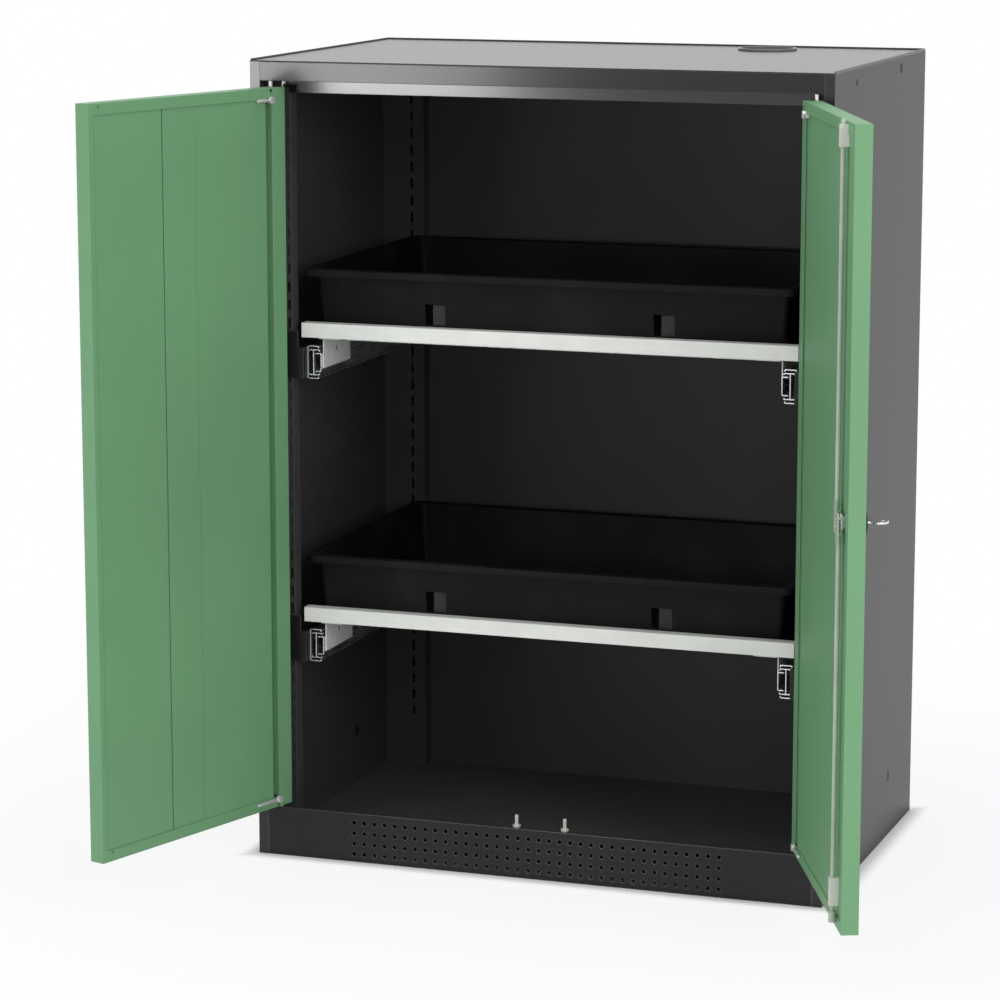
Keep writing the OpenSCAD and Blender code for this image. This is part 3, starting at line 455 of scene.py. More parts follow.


# The inside tones below are painted fill light: faces towards the inside of the carcass are lighter than the
# same coat outside.
ROOF_COAT = anthracite(
    "anthracite_coat", (0.0125, 0.0125, 0.0135), (0.11, 0.11, 0.115), (0.24, 0.31),
    inside=rgb(0.038, 0.035, 0.036),
)
SIDE_COAT = anthracite(
    "anthracite_coat_sides", (0.014, 0.014, 0.015), (0.11, 0.11, 0.115), (0.26, 0.33), ior=1.21,
    fold=ROUNDED_FOLD, inside=rgb(0.062, 0.057, 0.06), lacquer=(*FRONT_FACES, 0.6),
)
INSIDE_COAT = anthracite(
    "anthracite_coat_inside", (0.054, 0.052, 0.055), (0.085, 0.08, 0.085), (0.5, 0.62), drift=0.12,
    fleck=0.1,
)
FLOOR_COAT = anthracite(
    "anthracite_coat_floor", (0.12, 0.11, 0.115), (0.14, 0.13, 0.135), (0.5, 0.62), drift=0.12,
    fleck=0.1,
)
RAIL_COAT = anthracite(
    "anthracite_coat_rail", (0.0115, 0.0115, 0.0125), (0.12, 0.12, 0.125), (0.15, 0.2), bump=0.15,
    ior=1.4, lacquer=(*BELOW_FASCIA, 0.55),
)
BRACKET_COAT = anthracite(
    "anthracite_coat_brackets", (0.014, 0.014, 0.015), (0.2, 0.2, 0.205), (0.4, 0.5), drift=0.1,
    fleck=0.1, peel=ROUGH_PEEL, ior=1.3,
)
PLINTH_COAT = anthracite(
    "anthracite_coat_plinth", (0.0135, 0.0135, 0.014), (0.2, 0.2, 0.2), (0.24, 0.31), drift=0.1,
    fleck=0.14, fold=ROUNDED_FOLD, inside=rgb(0.038, 0.035, 0.036),
)
ROOF_EDGE_COAT = anthracite(
    "anthracite_coat_roof_edge", (0.08, 0.077, 0.08), (0.14, 0.14, 0.145), (0.3, 0.4), drift=0.1,
    fleck=0.1, peel=ROUGH_PEEL, bump=0.15, ior=1.3,
)
# The edge highlight tones of the collar and the green coat are painted highlights over their folds.
COLLAR_GREY = finish(
    "collar_coat", COAT_SKIN,
    {"Tone": rgb(0.16, 0.16, 0.165), "Edge Highlight": rgb(0.24, 0.24, 0.245),
     "Gloss Low": 0.27, "Gloss High": 0.35},
    bump=0.2, ior=1.33,
)
GREEN_VALUES = {
    "Tone": rgb(0.159, 0.343, 0.177), "Edge Highlight": rgb(0.25, 0.45, 0.27), "Drift": 0.05, "Fleck": 0.04,
    "Gloss Low": 0.46, "Gloss High": 0.56, "Peel Scale": COAT_PEEL,
}
DOOR_GREEN = finish("green_coat", COAT_SKIN, GREEN_VALUES, bump=0.2, ior=1.4)
# The liners carry painted shade in their seam and on their fold line.
LINER_GREEN = {
    side: finish("green_coat_%s_liner" % side, COAT_SKIN, GREEN_VALUES, bump=0.2, ior=1.4, seam=side)
    for side in DOOR_OPEN
}
BAR_GREY = finish(
    "pale_bar_coat", DRAWN_SKIN,
    {"Pale": rgb(0.82, 0.815, 0.8), "Dark": rgb(0.74, 0.735, 0.72), "Stretch": (6.0, 900.0, 900.0),
     "Gloss Low": 0.36, "Gloss High": 0.5},
    bump=0.1, ior=1.45,
)
ZINC = finish(
    "galvanised_sheet", SPANGLE_SKIN,
    {"Pale": rgb(0.82, 0.82, 0.82), "Dark": rgb(0.56, 0.57, 0.58), "Gloss Low": 0.42, "Gloss High": 0.58},
    bump=0.15, metallic=0.45,
)
PLATE_ZINC = finish(
    "galvanised_plate", SPANGLE_SKIN,
    {"Pale": rgb(0.8, 0.8, 0.79), "Dark": rgb(0.64, 0.64, 0.64), "Crystal Scale": 220.0,
     "Gloss Low": 0.45, "Gloss High": 0.6},
    bump=0.12, metallic=0.1,
)
BRIGHT_STEEL = finish(
    "bright_steel", DRAWN_SKIN,
    {"Pale": rgb(0.86, 0.86, 0.87), "Dark": rgb(0.64, 0.64, 0.66), "Stretch": (900.0, 15.0, 900.0)},
    bump=0.1, metallic=0.95,
)
BOLT_STEEL = finish(
    "plated_bolt", DRAWN_SKIN,
    {"Pale": rgb(0.88, 0.88, 0.87), "Dark": rgb(0.66, 0.66, 0.66), "Stretch": (900.0, 900.0, 900.0),
     "Gloss Low": 0.26, "Gloss High": 0.4},
    bump=0.08, metallic=0.55,
)
LOCK_NICKEL = finish(
    "nickel", DRAWN_SKIN,
    {"Pale": rgb(0.86, 0.85, 0.82), "Dark": rgb(0.7, 0.69, 0.66), "Stretch": (1200.0, 1200.0, 1200.0),
     "Gloss Low": 0.14, "Gloss High": 0.26},
    bump=0.05, metallic=1.0,
)
ROD_GREY = finish(
    "rod_coat", DRAWN_SKIN,
    {"Pale": rgb(0.5, 0.57, 0.48), "Dark": rgb(0.38, 0.44, 0.37), "Stretch": (900.0, 900.0, 12.0),
     "Gloss Low": 0.28, "Gloss High": 0.42},
    bump=0.08,
)
# Each plastic's bloom and edge highlight tone gives its bloom and, on its edges, a painted highlight.
TRAY_BLACK = finish(
    "tray_plastic", MOULDED_SKIN,
    {"Tone": rgb(0.0042, 0.0042, 0.0044), "Rub": rgb(0.03, 0.03, 0.031), "Grain Scale": 900.0,
     "Gloss Low": 0.5, "Gloss High": 0.64},
    bump=0.25, ior=1.22,
)
CLIP_GREY = finish(
    "clip_plastic", MOULDED_SKIN,
    {"Tone": rgb(0.014, 0.014, 0.015), "Rub": rgb(0.13, 0.13, 0.135), "Gloss Low": 0.4, "Gloss High": 0.55},
    bump=0.15, ior=1.35,
)
PLUG_BLACK = finish(
    "plug_plastic", MOULDED_SKIN,
    {"Tone": rgb(0.008, 0.008, 0.009), "Rub": rgb(0.02, 0.02, 0.022)},
    bump=0.15,
)
WHITE_PLASTIC = finish(
    "off_white_plastic", MOULDED_SKIN,
    {"Tone": rgb(0.72, 0.71, 0.66), "Rub": rgb(0.8, 0.8, 0.77), "Gloss Low": 0.35, "Gloss High": 0.48},
    bump=0.1,
)

NODE_FINISH = {
    ROOF_COAT: ["top_panel"],
    PLINTH_COAT: ["plinth_panel", "sill_channel"],
    SIDE_COAT: ["left_side_panel", "right_side_panel"],
    RAIL_COAT: ["top_rail"],
    INSIDE_COAT: [
        "back_panel", "plinth_stiffener",
        "left_front_post", "right_front_post", "left_rear_post", "right_rear_post",
    ],
    BRACKET_COAT: ["upper_slide_brackets", "lower_slide_brackets"],
    FLOOR_COAT: ["floor_panel"],
    COLLAR_GREY: ["exhaust_collar"],
    DOOR_GREEN: ["left_door_shell", "right_door_shell"],
    LINER_GREEN["left"]: ["left_door_liner"],
    LINER_GREEN["right"]: ["right_door_liner"],
    BAR_GREY: ["upper_front_bar", "lower_front_bar"],
    PLATE_ZINC: ["upper_side_plates", "lower_side_plates"],
    ZINC: ["upper_cross_rails", "lower_cross_rails", "left_hinge_brackets", "right_hinge_brackets"],
    BRIGHT_STEEL: [
        "upper_left_outer_rail", "upper_right_outer_rail", "lower_left_outer_rail", "lower_right_outer_rail",
        "upper_left_middle_rail", "upper_right_middle_rail", "lower_left_middle_rail",
        "lower_right_middle_rail", "upper_inner_rails", "lower_inner_rails",
        "upper_outer_cages", "upper_inner_cages", "lower_outer_cages", "lower_inner_cages",
    ],
    BOLT_STEEL: ["left_hinge_bolts", "right_hinge_bolts"],
    LOCK_NICKEL: ["lock_housing", "lock_core", "key"],
    ROD_GREY: ["upper_lock_rod", "lower_lock_rod"],
    TRAY_BLACK: ["upper_tray", "lower_tray"],
    CLIP_GREY: ["upper_tray_clips", "lower_tray_clips"],
    PLUG_BLACK: ["hole_plugs", "lock_escutcheon"],
    WHITE_PLASTIC: ["sill_pins", "hinge_bushings", "rod_guides"],
}

for node_material, names in NODE_FINISH.items():
    for node_name in names:
        materials = node_objects[node_name].data.materials
        materials.clear()
        materials.append(node_material)


# ---- Making meshes ----


SHARP_FROM = 35.0


def shade_by_angle(mesh, limit=SHARP_FROM):
    """Smooth faces, with the edges sharper than the limit kept sharp."""
    form = bmesh.new()
    form.from_mesh(mesh)
    for edge in form.edges:
        sharp = len(edge.link_faces) != 2 or edge.calc_face_angle(0.0) > math.radians(limit)
        edge.smooth = not sharp
    for face in form.faces:
        face.smooth = True
    form.to_mesh(mesh)
    form.free()


def face_outwards(mesh, merge=None):
    """Turns a closed mesh's faces outwards, after its corners closer than merge are made one."""
    form = bmesh.new()
    form.from_mesh(mesh)
    if merge:
        bmesh.ops.remove_doubles(form, verts=form.verts, dist=merge)
    bmesh.ops.recalc_face_normals(form, faces=form.faces)
    form.to_mesh(mesh)
    form.free()


def solid_mesh(name, corners, faces):
    """A closed mesh whose faces point outwards, smooth except over its sharp edges."""
    mesh = bpy.data.meshes.new(name)
    mesh.from_pydata(corners, [], faces)
    face_outwards(mesh)
    shade_by_angle(mesh)
    return mesh


def put_in_scene(name, data):
    """A new object of a mesh, a curve, a lamp or a camera."""
    item = bpy.data.objects.new(name, data)
    bpy.context.scene.collection.objects.link(item)
    return item


def made_mesh(host):
    """The plain mesh that an object comes to with its modifiers. The object goes."""
    mesh = bpy.data.meshes.new_from_object(host.evaluated_get(bpy.context.evaluated_depsgraph_get()))
    bpy.data.objects.remove(host)
    return mesh


def rounded_line(points, radius, steps=4):
    """A line of (a, b) points with its inner corners rounded."""
    line = [points[0]]
    for before, corner, after in zip(points, points[1:], points[2:]):
        corner, ways = Vector(corner), []
        for other in (before, after):
            way = Vector(other) - corner
            ways.append(way.normalized() * min(radius, way.length * 0.49))
        for step in range(steps + 1):
            share = step / steps
            start, end = corner + ways[0], corner + ways[1]
            line.append(tuple(start.lerp(corner, share).lerp(corner.lerp(end, share), share)))
    return line + [points[-1]]


def sheet_outline(line, thickness):
    """The closed outline of sheet metal of some thickness that follows a line of (a, b) points."""
    sides = ([], [])
    for i, point in enumerate(line):
        before = Vector(line[max(i - 1, 0)])
        after = Vector(line[min(i + 1, len(line) - 1)])
        way = (after - before).normalized()
        across = Vector((-way.y, way.x)) * thickness / 2
        sides[0].append(tuple(Vector(point) + across))
        sides[1].append(tuple(Vector(point) - across))
    return sides[0] + sides[1][::-1]


def swept(name, outlines, start, end, place):
    """Closed (a, b) outlines drawn from start to end, each point put by place(a, b, along)."""
    corners, faces = [], []
    for outline in outlines:
        first, size = len(corners), len(outline)
        corners += [place(a, b, along) for along in (start, end) for a, b in outline]
        for i in range(size):
            k = (i + 1) % size
            faces.append((first + i, first + k, first + size + k, first + size + i))
        faces.append(tuple(range(first, first + size)))
        faces.append(tuple(range(first + 2 * size - 1, first + size - 1, -1)))
    return solid_mesh(name, corners, faces)


def turned(name, outline, place, segments=56):
    """A closed (radius, along) outline turned round an axis, each point put by place(a, b, along)."""
    corners, faces, size = [], [], len(outline)
    for step in range(segments):
        turn = 2.0 * math.pi * step / segments
        corners += [
            place(radius * math.cos(turn), radius * math.sin(turn), along) for radius, along in outline
        ]
    for step in range(segments):
        this, following = step * size, (step + 1) % segments * size
        for i in range(size):
            k = (i + 1) % size
            faces.append((this + i, this + k, following + k, following + i))
    return solid_mesh(name, corners, faces)


def grown(name, points, tree, values):
    """The mesh that a Geometry Nodes tree makes at some starting points."""
    mesh = bpy.data.meshes.new(name)
    mesh.from_pydata(points, [], [])
    host = put_in_scene(name + "_host", mesh)
    modifier = host.modifiers.new("grow", "NODES")
    modifier.node_group = tree
    for item in tree.interface.items_tree:
        if item.item_type == "SOCKET" and item.in_out == "INPUT" and item.name in values:
            modifier[item.identifier] = values[item.name]
    return made_mesh(host)


def mesh_piece(name, body, material, mesh):
    """An object of a mesh that is in place, riding on a body. With no material, the mesh keeps its own."""
    piece = put_in_scene(name, mesh)
    if material:
        mesh.materials.clear()
        mesh.materials.append(material)
    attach(piece, body)
    return piece


# ---- Trays ----

TRAY_IN = 55.0
TRAY_FRONT = 40.0
TRAY_LONG = 440.0
TRAY_HIGH = 93.0
TRAY_WALL = 3.0
TRAY_DRAFT = 10.0
TRAY_CORNER = 16.0
LEAST_CORNER = 5.0
RIM_OUT = 13.0
RIM_HIGH = 10.0
NOTCH_WIDE = 29.0
NOTCH_OFF_MIDDLE = 162.0
NOTCH_LOW = 20.5
NOTCH_HIGH = 29.0
NOTCH_FROM = TRAY_FRONT + 4.0
NOTCH_TO = TRAY_FRONT + 34.0


def tray_profile():
    """The tray's section as (distance in from the rim, height), up the outside and down the inside."""
    wall_low = RIM_OUT + TRAY_DRAFT
    top = TRAY_HIGH
    under_rim = RIM_OUT + TRAY_DRAFT * TRAY_WALL / TRAY_HIGH
    inner_low = wall_low + TRAY_WALL - 0.3
    inner_top = RIM_OUT + TRAY_WALL
    return [
        (wall_low + 8, 0.0), (wall_low + 2.0, 0.0), (wall_low + 0.6, 0.6), (wall_low - 0.2, 2.0),
        (under_rim + 1.0, top - TRAY_WALL - 3.0), (under_rim + 0.2, top - TRAY_WALL - 1.0),
        (under_rim - 1.2, top - TRAY_WALL),
        (TRAY_WALL + 1.0, top - TRAY_WALL), (TRAY_WALL, top - TRAY_WALL - 1.0),
        (TRAY_WALL, top - RIM_HIGH + 0.4), (TRAY_WALL - 0.4, top - RIM_HIGH), (0.5, top - RIM_HIGH),
        (0.0, top - RIM_HIGH + 0.5), (0.0, top - 1.6), (0.5, top - 0.5), (1.6, top),
        (inner_top - 1.6, top), (inner_top - 0.4, top - 0.6), (inner_top + 0.2, top - 2.0),
        (inner_low - 1.2, TRAY_WALL + 4.0), (inner_low + 0.2, TRAY_WALL + 1.4),
        (inner_low + 2.2, TRAY_WALL), (inner_low + 8, TRAY_WALL),
    ]


def rounded_ring(inset, height, corner_steps=6):
    """Points round the tray at one height, with its corners rounded."""
    radius = max(TRAY_CORNER - inset * 0.45, LEAST_CORNER)
    x0, x1 = TRAY_IN + inset, CABINET_WIDTH - TRAY_IN - inset
    y0, y1 = TRAY_FRONT + inset, TRAY_FRONT + TRAY_LONG - inset
    points = []
    for cx, cy, start in (
        (x1 - radius, y0 + radius, -90), (x1 - radius, y1 - radius, 0),
        (x0 + radius, y1 - radius, 90), (x0 + radius, y0 + radius, 180),
    ):
        for step in range(corner_steps + 1):
            turn = math.radians(start + 90.0 * step / corner_steps)
            points.append((cx + radius * math.cos(turn), cy + radius * math.sin(turn), height))
    return points


def block(x0, x1, y0, y1, z0, z1):
    """A box's corners and faces, from its limits in cabinet mm."""
    corners = [at(x, y, z) for z in (z0, z1) for y in (y0, y1) for x in (x0, x1)]
    faces = [(0, 2, 3, 1), (4, 5, 7, 6), (0, 1, 5, 4), (2, 6, 7, 3), (0, 4, 6, 2), (1, 3, 7, 5)]
    return corners, faces


def notch_blocks(name, base):
    """The two blocks that cut the notches for the clips out of a tray's front."""
    all_corners, all_faces = [], []
    for side in (-1, 1):
        middle = CABINET_WIDTH / 2 + side * NOTCH_OFF_MIDDLE
        corners, faces = block(
            middle - NOTCH_WIDE / 2, middle + NOTCH_WIDE / 2, NOTCH_FROM, NOTCH_TO,
            base + NOTCH_LOW, base + NOTCH_LOW + NOTCH_HIGH,
        )
        all_faces += [tuple(len(all_corners) + n for n in face) for face in faces]
        all_corners += corners
    mesh = bpy.data.meshes.new(name)
    mesh.from_pydata(all_corners, [], all_faces)
    return mesh


def tray_mesh(name, base):
    """A tray of rounded rings, one for each point of its section, with its notches cut."""
    rings = [rounded_ring(inset, base + height) for inset, height in tray_profile()]
    size = len(rings[0])
    faces = []
    for i in range(len(rings) - 1):
        for j in range(size):
            k = (j + 1) % size
            faces.append((i * size + j, i * size + k, (i + 1) * size + k, (i + 1) * size + j))
    last = (len(rings) - 1) * size
    faces.append(tuple(reversed(range(size))))
    faces.append(tuple(range(last, last + size)))
    corners = [at(*point) for ring in rings for point in ring]
    tray = put_in_scene(name + "_solid", solid_mesh(name, corners, faces))
    cutter = put_in_scene(name + "_notches", notch_blocks(name + "_notches", base))
    cut = tray.modifiers.new("notches", "BOOLEAN")
    cut.operation = "DIFFERENCE"
    cut.solver = "EXACT"
    cut.object = cutter
    result = made_mesh(tray)
    bpy.data.objects.remove(cutter)
    shade_by_angle(result)
    return result


for level, base in TRAY_Z.items():
    tray = mesh_piece(
        level + "_moulded_tray", level + "_drawer", TRAY_BLACK,
        tray_mesh(level + "_tray_mesh", base),
    )
    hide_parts(level + "_tray")


# ---- Ball-bearing slides ----

SLIDE_IN = 58.0
SLIDE_WIDE = 21.0
SLIDE_MIDDLE = 37.0
SLIDE_FRONT = 52.0
SLIDE_LONG = 430.0
RAIL_SHEET = 1.5
RAIL_FOLD = 1.8
FLANGE_FOLD = 1.4

# Sections have their zero at the slide's cabinet side and half its height. A C-shaped rail's web and tips
# stand at distances across it. Its half height and the length of its turned-back tips follow.
C_RAILS = {
    "outer": (RAIL_SHEET / 2, 16.6, 23.0, 3.4),
    "inner": (SLIDE_WIDE - RAIL_SHEET / 2, 12.4, 13.0, 1.6),
}
MIDDLE_WEB = [(9.25, 16.6), (9.25, -16.6)]
MIDDLE_FLANGE = [(3.2, 15.2), (3.2, 17.25), (17.8, 17.25), (17.8, 15.2)]


def rail_sections(kind):
    """The closed outlines of a rail's sheet metal."""
    if kind == "middle":
        lower_flange = [(a, -b) for a, b in MIDDLE_FLANGE]
        flanges = [rounded_line(line, FLANGE_FOLD) for line in (MIDDLE_FLANGE, lower_flange)]
        return [sheet_outline(line, RAIL_SHEET) for line in (MIDDLE_WEB, *flanges)]
    web, tip, half, lip = C_RAILS[kind]
    edge = half - RAIL_SHEET / 2
    line = [
        (tip, half - lip), (tip, edge), (web, edge), (web, -edge), (tip, -edge), (tip, lip - half),
    ]
    return [sheet_outline(rounded_line(line, RAIL_FOLD), RAIL_SHEET)]


def put_on_slide(level, side):
    """How a place in a slide's section, and along it, becomes a place in the frame."""
    middle = TRAY_Z[level] - SLIDE_MIDDLE

    def place(a, b, along):
        x = SLIDE_IN + a if side == "left" else CABINET_WIDTH - SLIDE_IN - a
        return at(x, along, middle + b)

    return place


def joined(name, meshes):
    """Several meshes as one."""
    form = bmesh.new()
    for mesh in meshes:
        form.from_mesh(mesh)
    result = bpy.data.meshes.new(name)
    form.to_mesh(result)
    form.free()
    return result


def rail_mesh(name, kind, level, sides):
    """The rails of one kind on some sides of a drawer, as one mesh."""
    parts = [
        swept(name, rail_sections(kind), SLIDE_FRONT, SLIDE_FRONT + SLIDE_LONG, put_on_slide(level, side))
        for side in sides
    ]
    mesh = joined(name, parts) if len(parts) > 1 else parts[0]
    shade_by_angle(mesh)
    return mesh


def build_ball_row():
    """A row of balls along Y in the links of their cage, repeated from each starting point."""
    tree = bpy.data.node_groups.new("ball_row", "GeometryNodeTree")
    tree.interface.new_socket(name="Starts", in_out="INPUT", socket_type="NodeSocketGeometry")
    for name, kind in (
        ("Balls", "NodeSocketInt"), ("Pitch", "NodeSocketFloat"), ("Ball Radius", "NodeSocketFloat"),
        ("Link Width", "NodeSocketFloat"), ("Link Thickness", "NodeSocketFloat"),
        ("Ball Finish", "NodeSocketMaterial"), ("Link Finish", "NodeSocketMaterial"),
    ):
        tree.interface.new_socket(name=name, in_out="INPUT", socket_type=kind)
    tree.interface.new_socket(name="Rows", in_out="OUTPUT", socket_type="NodeSocketGeometry")
    given = tree.nodes.new("NodeGroupInput").outputs
    out = tree.nodes.new("NodeGroupOutput")
    step = add(tree, "ShaderNodeCombineXYZ", Y=given["Pitch"])
    first = add(tree, "ShaderNodeCombineXYZ", Y=math_node(tree, "MULTIPLY", given["Pitch"], 0.5))
    line = add(tree, "GeometryNodeMeshLine", Count=given["Balls"], i2=first.outputs[0], i3=step.outputs[0])
    ball = add(tree, "GeometryNodeMeshUVSphere", Segments=12, Rings=8, Radius=given["Ball Radius"])
    soft_ball = add(tree, "GeometryNodeSetShadeSmooth", i0=ball.outputs["Mesh"])
    frame_line = add(
        tree, "GeometryNodeCurvePrimitiveQuadrilateral", Width=given["Link Width"], Height=given["Pitch"]
    )
    hole = add(
        tree, "GeometryNodeCurvePrimitiveCircle", Resolution=14,
        Radius=math_node(tree, "MULTIPLY", given["Ball Radius"], 1.12),
    )
    both = tree.nodes.new("GeometryNodeJoinGeometry")
    tree.links.new(frame_line.outputs[0], both.inputs[0])
    tree.links.new(hole.outputs[0], both.inputs[0])
    flat = add(tree, "GeometryNodeFillCurve", i0=both.outputs[0])
    raised = add(
        tree, "GeometryNodeExtrudeMesh", Mesh=flat.outputs[0], Individual=False,
        Offset_Scale=given["Link Thickness"],
    )
    under = add(tree, "GeometryNodeFlipFaces", i0=flat.outputs[0])
    shell = tree.nodes.new("GeometryNodeJoinGeometry")
    tree.links.new(raised.outputs[0], shell.inputs[0])
    tree.links.new(under.outputs[0], shell.inputs[0])
    merged = add(tree, "GeometryNodeMergeByDistance", i0=shell.outputs[0])
    ends = tree.nodes.new("GeometryNodeJoinGeometry")
    for item, surface in ((soft_ball, "Ball Finish"), (merged, "Link Finish")):
        row = add(tree, "GeometryNodeInstanceOnPoints", Points=line.outputs[0], Instance=item.outputs[0])
        rows = add(tree, "GeometryNodeInstanceOnPoints", Points=given["Starts"], Instance=row.outputs[0])
        real = add(tree, "GeometryNodeRealizeInstances", i0=rows.outputs[0])
        finished = add(
            tree, "GeometryNodeSetMaterial", Geometry=real.outputs[0], Material=given[surface]
        )
        tree.links.new(finished.outputs[0], ends.inputs[0])
    tree.links.new(ends.outputs[0], out.inputs[0])
    return tree


BALL_ROW = build_ball_row()
CAGE_FRONT = 160.0
CAGE_LONG = 214.0
BALLS_IN_ROW = 16
BALL_RADIUS = 1.45
CAGE_SHEET = 1.0

# A cage's rows lie above and below the slide's middle, at a distance across it, in links of some width.
CAGES = {"outer": (19.75, 8.5, 8.6), "inner": (14.75, 15.5, 4.0)}

for level in TRAY_Z:
    for side in ("left", "right"):
        for kind, rail_body in (("outer", "cabinet"), ("middle", level + "_middle_rails")):
            node_name = "%s_%s_%s_rail" % (level, side, kind)
            rail = mesh_piece(
                node_name + "_drawn", rail_body, BRIGHT_STEEL,
                rail_mesh(node_name + "_mesh", kind, level, (side,)),
            )
            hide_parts(node_name)
    rail = mesh_piece(
        level + "_inner_rails_drawn", level + "_drawer", BRIGHT_STEEL,
        rail_mesh(level + "_inner_rails_mesh", "inner", level, ("left", "right")),
    )
    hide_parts(level + "_inner_rails")
    for kind, (up, across, wide) in CAGES.items():
        starts = [
            put_on_slide(level, side)(across, height - CAGE_SHEET / 2, CAGE_FRONT)
            for side in ("left", "right") for height in (up, -up)
        ]
        rows = grown(
            "%s_%s_ball_rows" % (level, kind), starts, BALL_ROW,
            {"Balls": BALLS_IN_ROW, "Pitch": CAGE_LONG / BALLS_IN_ROW * MM, "Ball Radius": BALL_RADIUS * MM,
             "Link Width": wide * MM, "Link Thickness": CAGE_SHEET * MM,
             "Ball Finish": LOCK_NICKEL, "Link Finish": ZINC},
        )
        cage = mesh_piece(
            "%s_%s_ball_cages" % (level, kind), "%s_%s_ball_cages" % (level, kind), None, rows
        )
        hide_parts("%s_%s_cages" % (level, kind))


# ---- Roof ----


ROOF_EDGE_WIDE = 1.8
ROOF_EDGE_FRONT = 3.0
ROOF_EDGE_CORNER = 3.0
ROOF_EDGE_LOW = CABINET_HEIGHT - 0.1
ROOF_EDGE_TOP = CABINET_HEIGHT + 2.2


def roof_edge_mesh():
    """The folded upper edge of the side and back panels, standing a little above the roof sheet."""
    left = ROOF_EDGE_WIDE / 2
    right, back = CABINET_WIDTH - left, CABINET_DEPTH - left
    corners = [(left, ROOF_EDGE_FRONT), (left, back), (right, back), (right, ROOF_EDGE_FRONT)]
    outline = sheet_outline(rounded_line(corners, ROOF_EDGE_CORNER), ROOF_EDGE_WIDE)
    return swept("roof_edge_mesh", [outline], ROOF_EDGE_LOW, ROOF_EDGE_TOP, at)


mesh_piece("roof_edge_fold", "cabinet", ROOF_EDGE_COAT, roof_edge_mesh())


# ---- Doors ----


STRIP_FROM = 43.2
STRIP_TO = 54.6
STRIP_FRONT = 12.5
STRIP_BACK = 24.0
STRIP_SHEET = 0.8
STRIP_FOLD = 1.5
STRIP_LOW = DOOR_LOW + 14.0
STRIP_TOP = DOOR_TOP - 20.5


def channel_strip(side):
    """The shallow folded strip that closes the channel between a door's hinge lip and its liner."""
    corners = [
        (STRIP_FROM, STRIP_BACK), (STRIP_FROM, STRIP_FRONT), (STRIP_TO, STRIP_FRONT), (STRIP_TO, STRIP_BACK),
    ]
    outline = sheet_outline(rounded_line(corners, STRIP_FOLD), STRIP_SHEET)

    def place(a, b, along):
        return on_door(side, a, b, along)

    mesh = swept(side + "_channel_mesh", [outline], STRIP_LOW, STRIP_TOP, place)
    return mesh_piece(side + "_channel_strip", side + "_door", DOOR_GREEN, mesh)


for door_side in DOOR_OPEN:
    channel_strip(door_side)


# ---- Lock ----


def lock_place(a, b, along):
    """A place round the lock's axis: a across the door, b up, along the depth."""
    return on_door("right", LOCK_X + a, along, LOCK_Z + b)


# The rosette's section as (radius, distance behind the cabinet's front).
ROSETTE = [(9.25, 4.0), (9.25, -2.5), (9.9, -3.1), (14.3, -3.1), (15.2, -2.6), (15.5, -1.6), (15.5, 4.0)]
rosette = mesh_piece(
    "lock_rosette", "right_door", PLUG_BLACK, turned("lock_rosette_mesh", ROSETTE, lock_place)
)
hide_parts("lock_escutcheon")


BOW_RADIUS = 12.0
BOW_MIDDLE = -19.0
BOW_OPEN = 44.0
BOW_HOLE_RADIUS = 2.6
BOW_HOLE_MIDDLE = -25.0
KEY_HALF_THICK = 0.95
KEY_ROUNDING = 0.3

# The key's shoulders and its cut blade, as (distance across, distance behind the cabinet's front).
BLADE = [
    (-4.4, -1.0), (-3.4, 0.0), (-3.4, 16.6), (-1.2, 18.0), (1.0, 18.0), (2.6, 15.8), (1.6, 14.0),
    (3.0, 12.0), (3.0, 10.4), (1.4, 8.6), (3.2, 6.2), (3.4, 0.0), (4.4, -1.0),
]


def arc(radius, middle, start, turn, steps):
    """Points on a circle round (0, middle), from one angle through a turn."""
    angles = [math.radians(start + turn * step / steps) for step in range(steps + 1)]
    return [(radius * math.cos(angle), middle + radius * math.sin(angle)) for angle in angles]


def key_mesh():
    """A flat key: a round bow with a hole, a neck with shoulders and a cut blade."""
    bow = arc(BOW_RADIUS, BOW_MIDDLE, 90.0 - BOW_OPEN / 2, BOW_OPEN - 360.0, 48)
    hole = arc(BOW_HOLE_RADIUS, BOW_HOLE_MIDDLE, 0.0, 360.0, 20)[:-1]
    curve = bpy.data.curves.new("key_outline", "CURVE")
    curve.dimensions = "2D"
    curve.fill_mode = "BOTH"
    curve.extrude = KEY_HALF_THICK
    curve.bevel_depth = KEY_ROUNDING
    curve.offset = -KEY_ROUNDING
    for points in (bow + BLADE, hole):
        spline = curve.splines.new("POLY")
        spline.points.add(len(points) - 1)
        spline.use_cyclic_u = True
        for corner, (x, y) in zip(spline.points, points):
            corner.co = (x, y, 0.0, 1.0)
    mesh = made_mesh(put_in_scene("key_outline", curve))
    for corner in mesh.vertices:
        corner.co = lock_place(corner.co.x, corner.co.z, corner.co.y)
    face_outwards(mesh, merge=0.01 * MM)
    shade_by_angle(mesh, 30.0)
    return mesh


cut_key = mesh_piece("cut_key", "lock", LOCK_NICKEL, key_mesh())
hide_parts("key")


# ---- Floor, light and camera ----

# Sizes and places are in metres here, and the camera's angles in radians.


def white_rays(tree):
    """1 for what the camera sees straight on, in gloss or through glass."""
    path = add(tree, "ShaderNodeLightPath")
    share = math_node(tree, "MAXIMUM", path.outputs["Is Camera Ray"], path.outputs["Is Glossy Ray"])
    return math_node(tree, "MAXIMUM", share, path.outputs["Is Transmission Ray"])


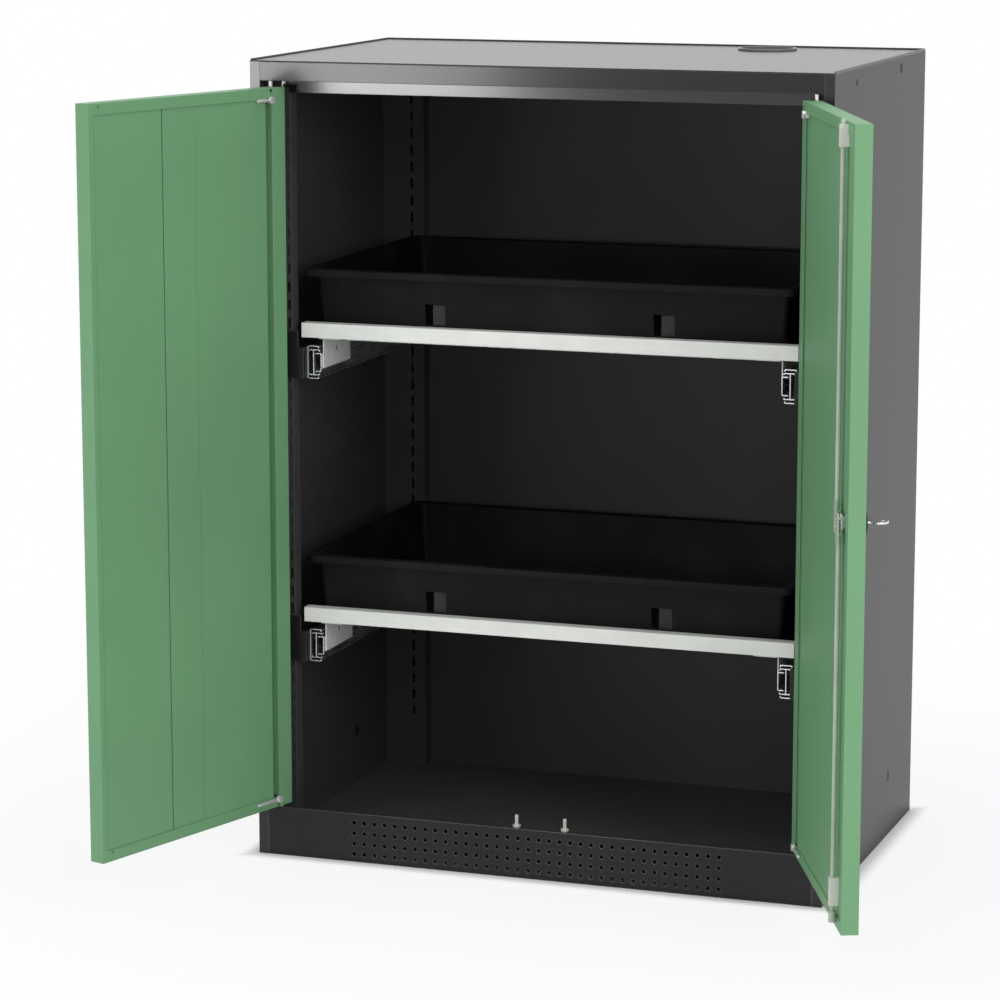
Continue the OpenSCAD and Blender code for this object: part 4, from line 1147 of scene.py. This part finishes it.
def build_world():
    """A surrounding that looks white and lights the cabinet a little less brightly."""
    world = bpy.data.worlds.new("studio")
    world.use_nodes = True
    tree = world.node_tree
    tree.nodes.clear()
    soft = add(tree, "ShaderNodeBackground", Color=rgb(1, 1, 1), Strength=0.7)
    white = add(tree, "ShaderNodeBackground", Color=rgb(1, 1, 1), Strength=1.0)
    both = add(tree, "ShaderNodeMixShader", i0=white_rays(tree), i1=soft.outputs[0], i2=white.outputs[0])
    out = tree.nodes.new("ShaderNodeOutputWorld")
    tree.links.new(both.outputs[0], out.inputs["Surface"])
    bpy.context.scene.world = world


FLOOR_REACH = 30.0
SHADOW_WIDE = 0.03
WHITE_BY_CABINET = 0.85
WHITE_FROM = 1.1


def build_floor():
    """A floor that is matt under the cabinet and just beside it, and looks white further away."""
    material = bpy.data.materials.new("pale_floor")
    material.use_nodes = True
    tree = material.node_tree
    tree.nodes.clear()
    place = add(tree, "ShaderNodeTexCoord").outputs["Object"]
    apart = add(tree, "ShaderNodeSeparateXYZ", Vector=place).outputs
    beside = math_node(tree, "SUBTRACT", math_node(tree, "ABSOLUTE", apart["X"]), CABINET_WIDTH / 2 * MM)
    before = math_node(tree, "SUBTRACT", math_node(tree, "ABSOLUTE", apart["Y"]), CABINET_DEPTH / 2 * MM)
    away = math_node(tree, "MAXIMUM", beside, before)
    grain = noise(tree, place, 40.0, 2.0)
    tone = mix_colour(tree, grain, rgb(0.83, 0.83, 0.83), rgb(0.86, 0.86, 0.86))
    matt = add(tree, "ShaderNodeBsdfDiffuse", Color=tone)
    glow = add(tree, "ShaderNodeEmission", Color=rgb(1, 1, 1), Strength=1.0)
    past_shadow = spread(tree, away, 0.0, SHADOW_WIDE)
    whiteness = spread(tree, away, 0.0, WHITE_FROM, WHITE_BY_CABINET, 1.0)
    clear = math_node(tree, "MULTIPLY", past_shadow, whiteness)
    share = math_node(tree, "MULTIPLY", white_rays(tree), clear)
    both = add(tree, "ShaderNodeMixShader", i0=share, i1=matt.outputs[0], i2=glow.outputs[0])
    out = tree.nodes.new("ShaderNodeOutputMaterial")
    tree.links.new(both.outputs[0], out.inputs["Surface"])
    corners = [(x * FLOOR_REACH, y * FLOOR_REACH, 0.0) for x, y in ((-1, -1), (1, -1), (1, 1), (-1, 1))]
    mesh = bpy.data.meshes.new("floor_mesh")
    mesh.from_pydata(corners, [], [(0, 1, 2, 3)])
    mesh.materials.append(material)
    floor = put_in_scene("studio_floor", mesh)


def softbox(name, place, aim, wide, high, watts):
    """A rectangular lamp at a place, in metres, turned towards another place."""
    lamp = bpy.data.lights.new(name, "AREA")
    lamp.shape = "RECTANGLE"
    lamp.size, lamp.size_y = wide, high
    lamp.energy = watts
    holder = put_in_scene(name, lamp)
    holder.visible_camera = False
    holder.location = place
    holder.rotation_mode = "QUATERNION"
    holder.rotation_quaternion = (Vector(aim) - Vector(place)).to_track_quat("-Z", "Y")


build_world()
build_floor()
# The left half of the fascia mirrors the first box into the camera.
softbox("left_front_box", (-1.56, -3.0, 0.9), (-0.27, -0.26, 0.98), 1.02, 0.24, 14.6)
softbox("right_front_box", (2.9, -2.7, 1.7), (0.0, -0.2, 0.5), 1.6, 1.8, 42.0)
softbox("overhead_box", (0.0, -0.6, 3.6), (0.0, 0.0, 0.5), 2.2, 1.8, 26.0)
softbox("back_box", (-1.6, 4.6, 1.75), (0.0, 0.0, 1.1), 4.5, 1.3, 5.0)

SENSOR = 36.0
FOCAL_LENGTH = 131.45
CAMERA_PLACE = (1.5389, -4.8173, 1.4193)
LOOK_DOWN = 0.1834
LOOK_LEFT = 0.3351

lens = bpy.data.cameras.new("front_view")
lens.sensor_width = SENSOR
lens.lens = FOCAL_LENGTH
camera = put_in_scene("front_view", lens)
camera.location = CAMERA_PLACE
camera.rotation_euler = (math.pi / 2 - LOOK_DOWN, 0.0, LOOK_LEFT)
bpy.context.scene.camera = camera
bpy.context.scene.view_settings.view_transform = "Standard"
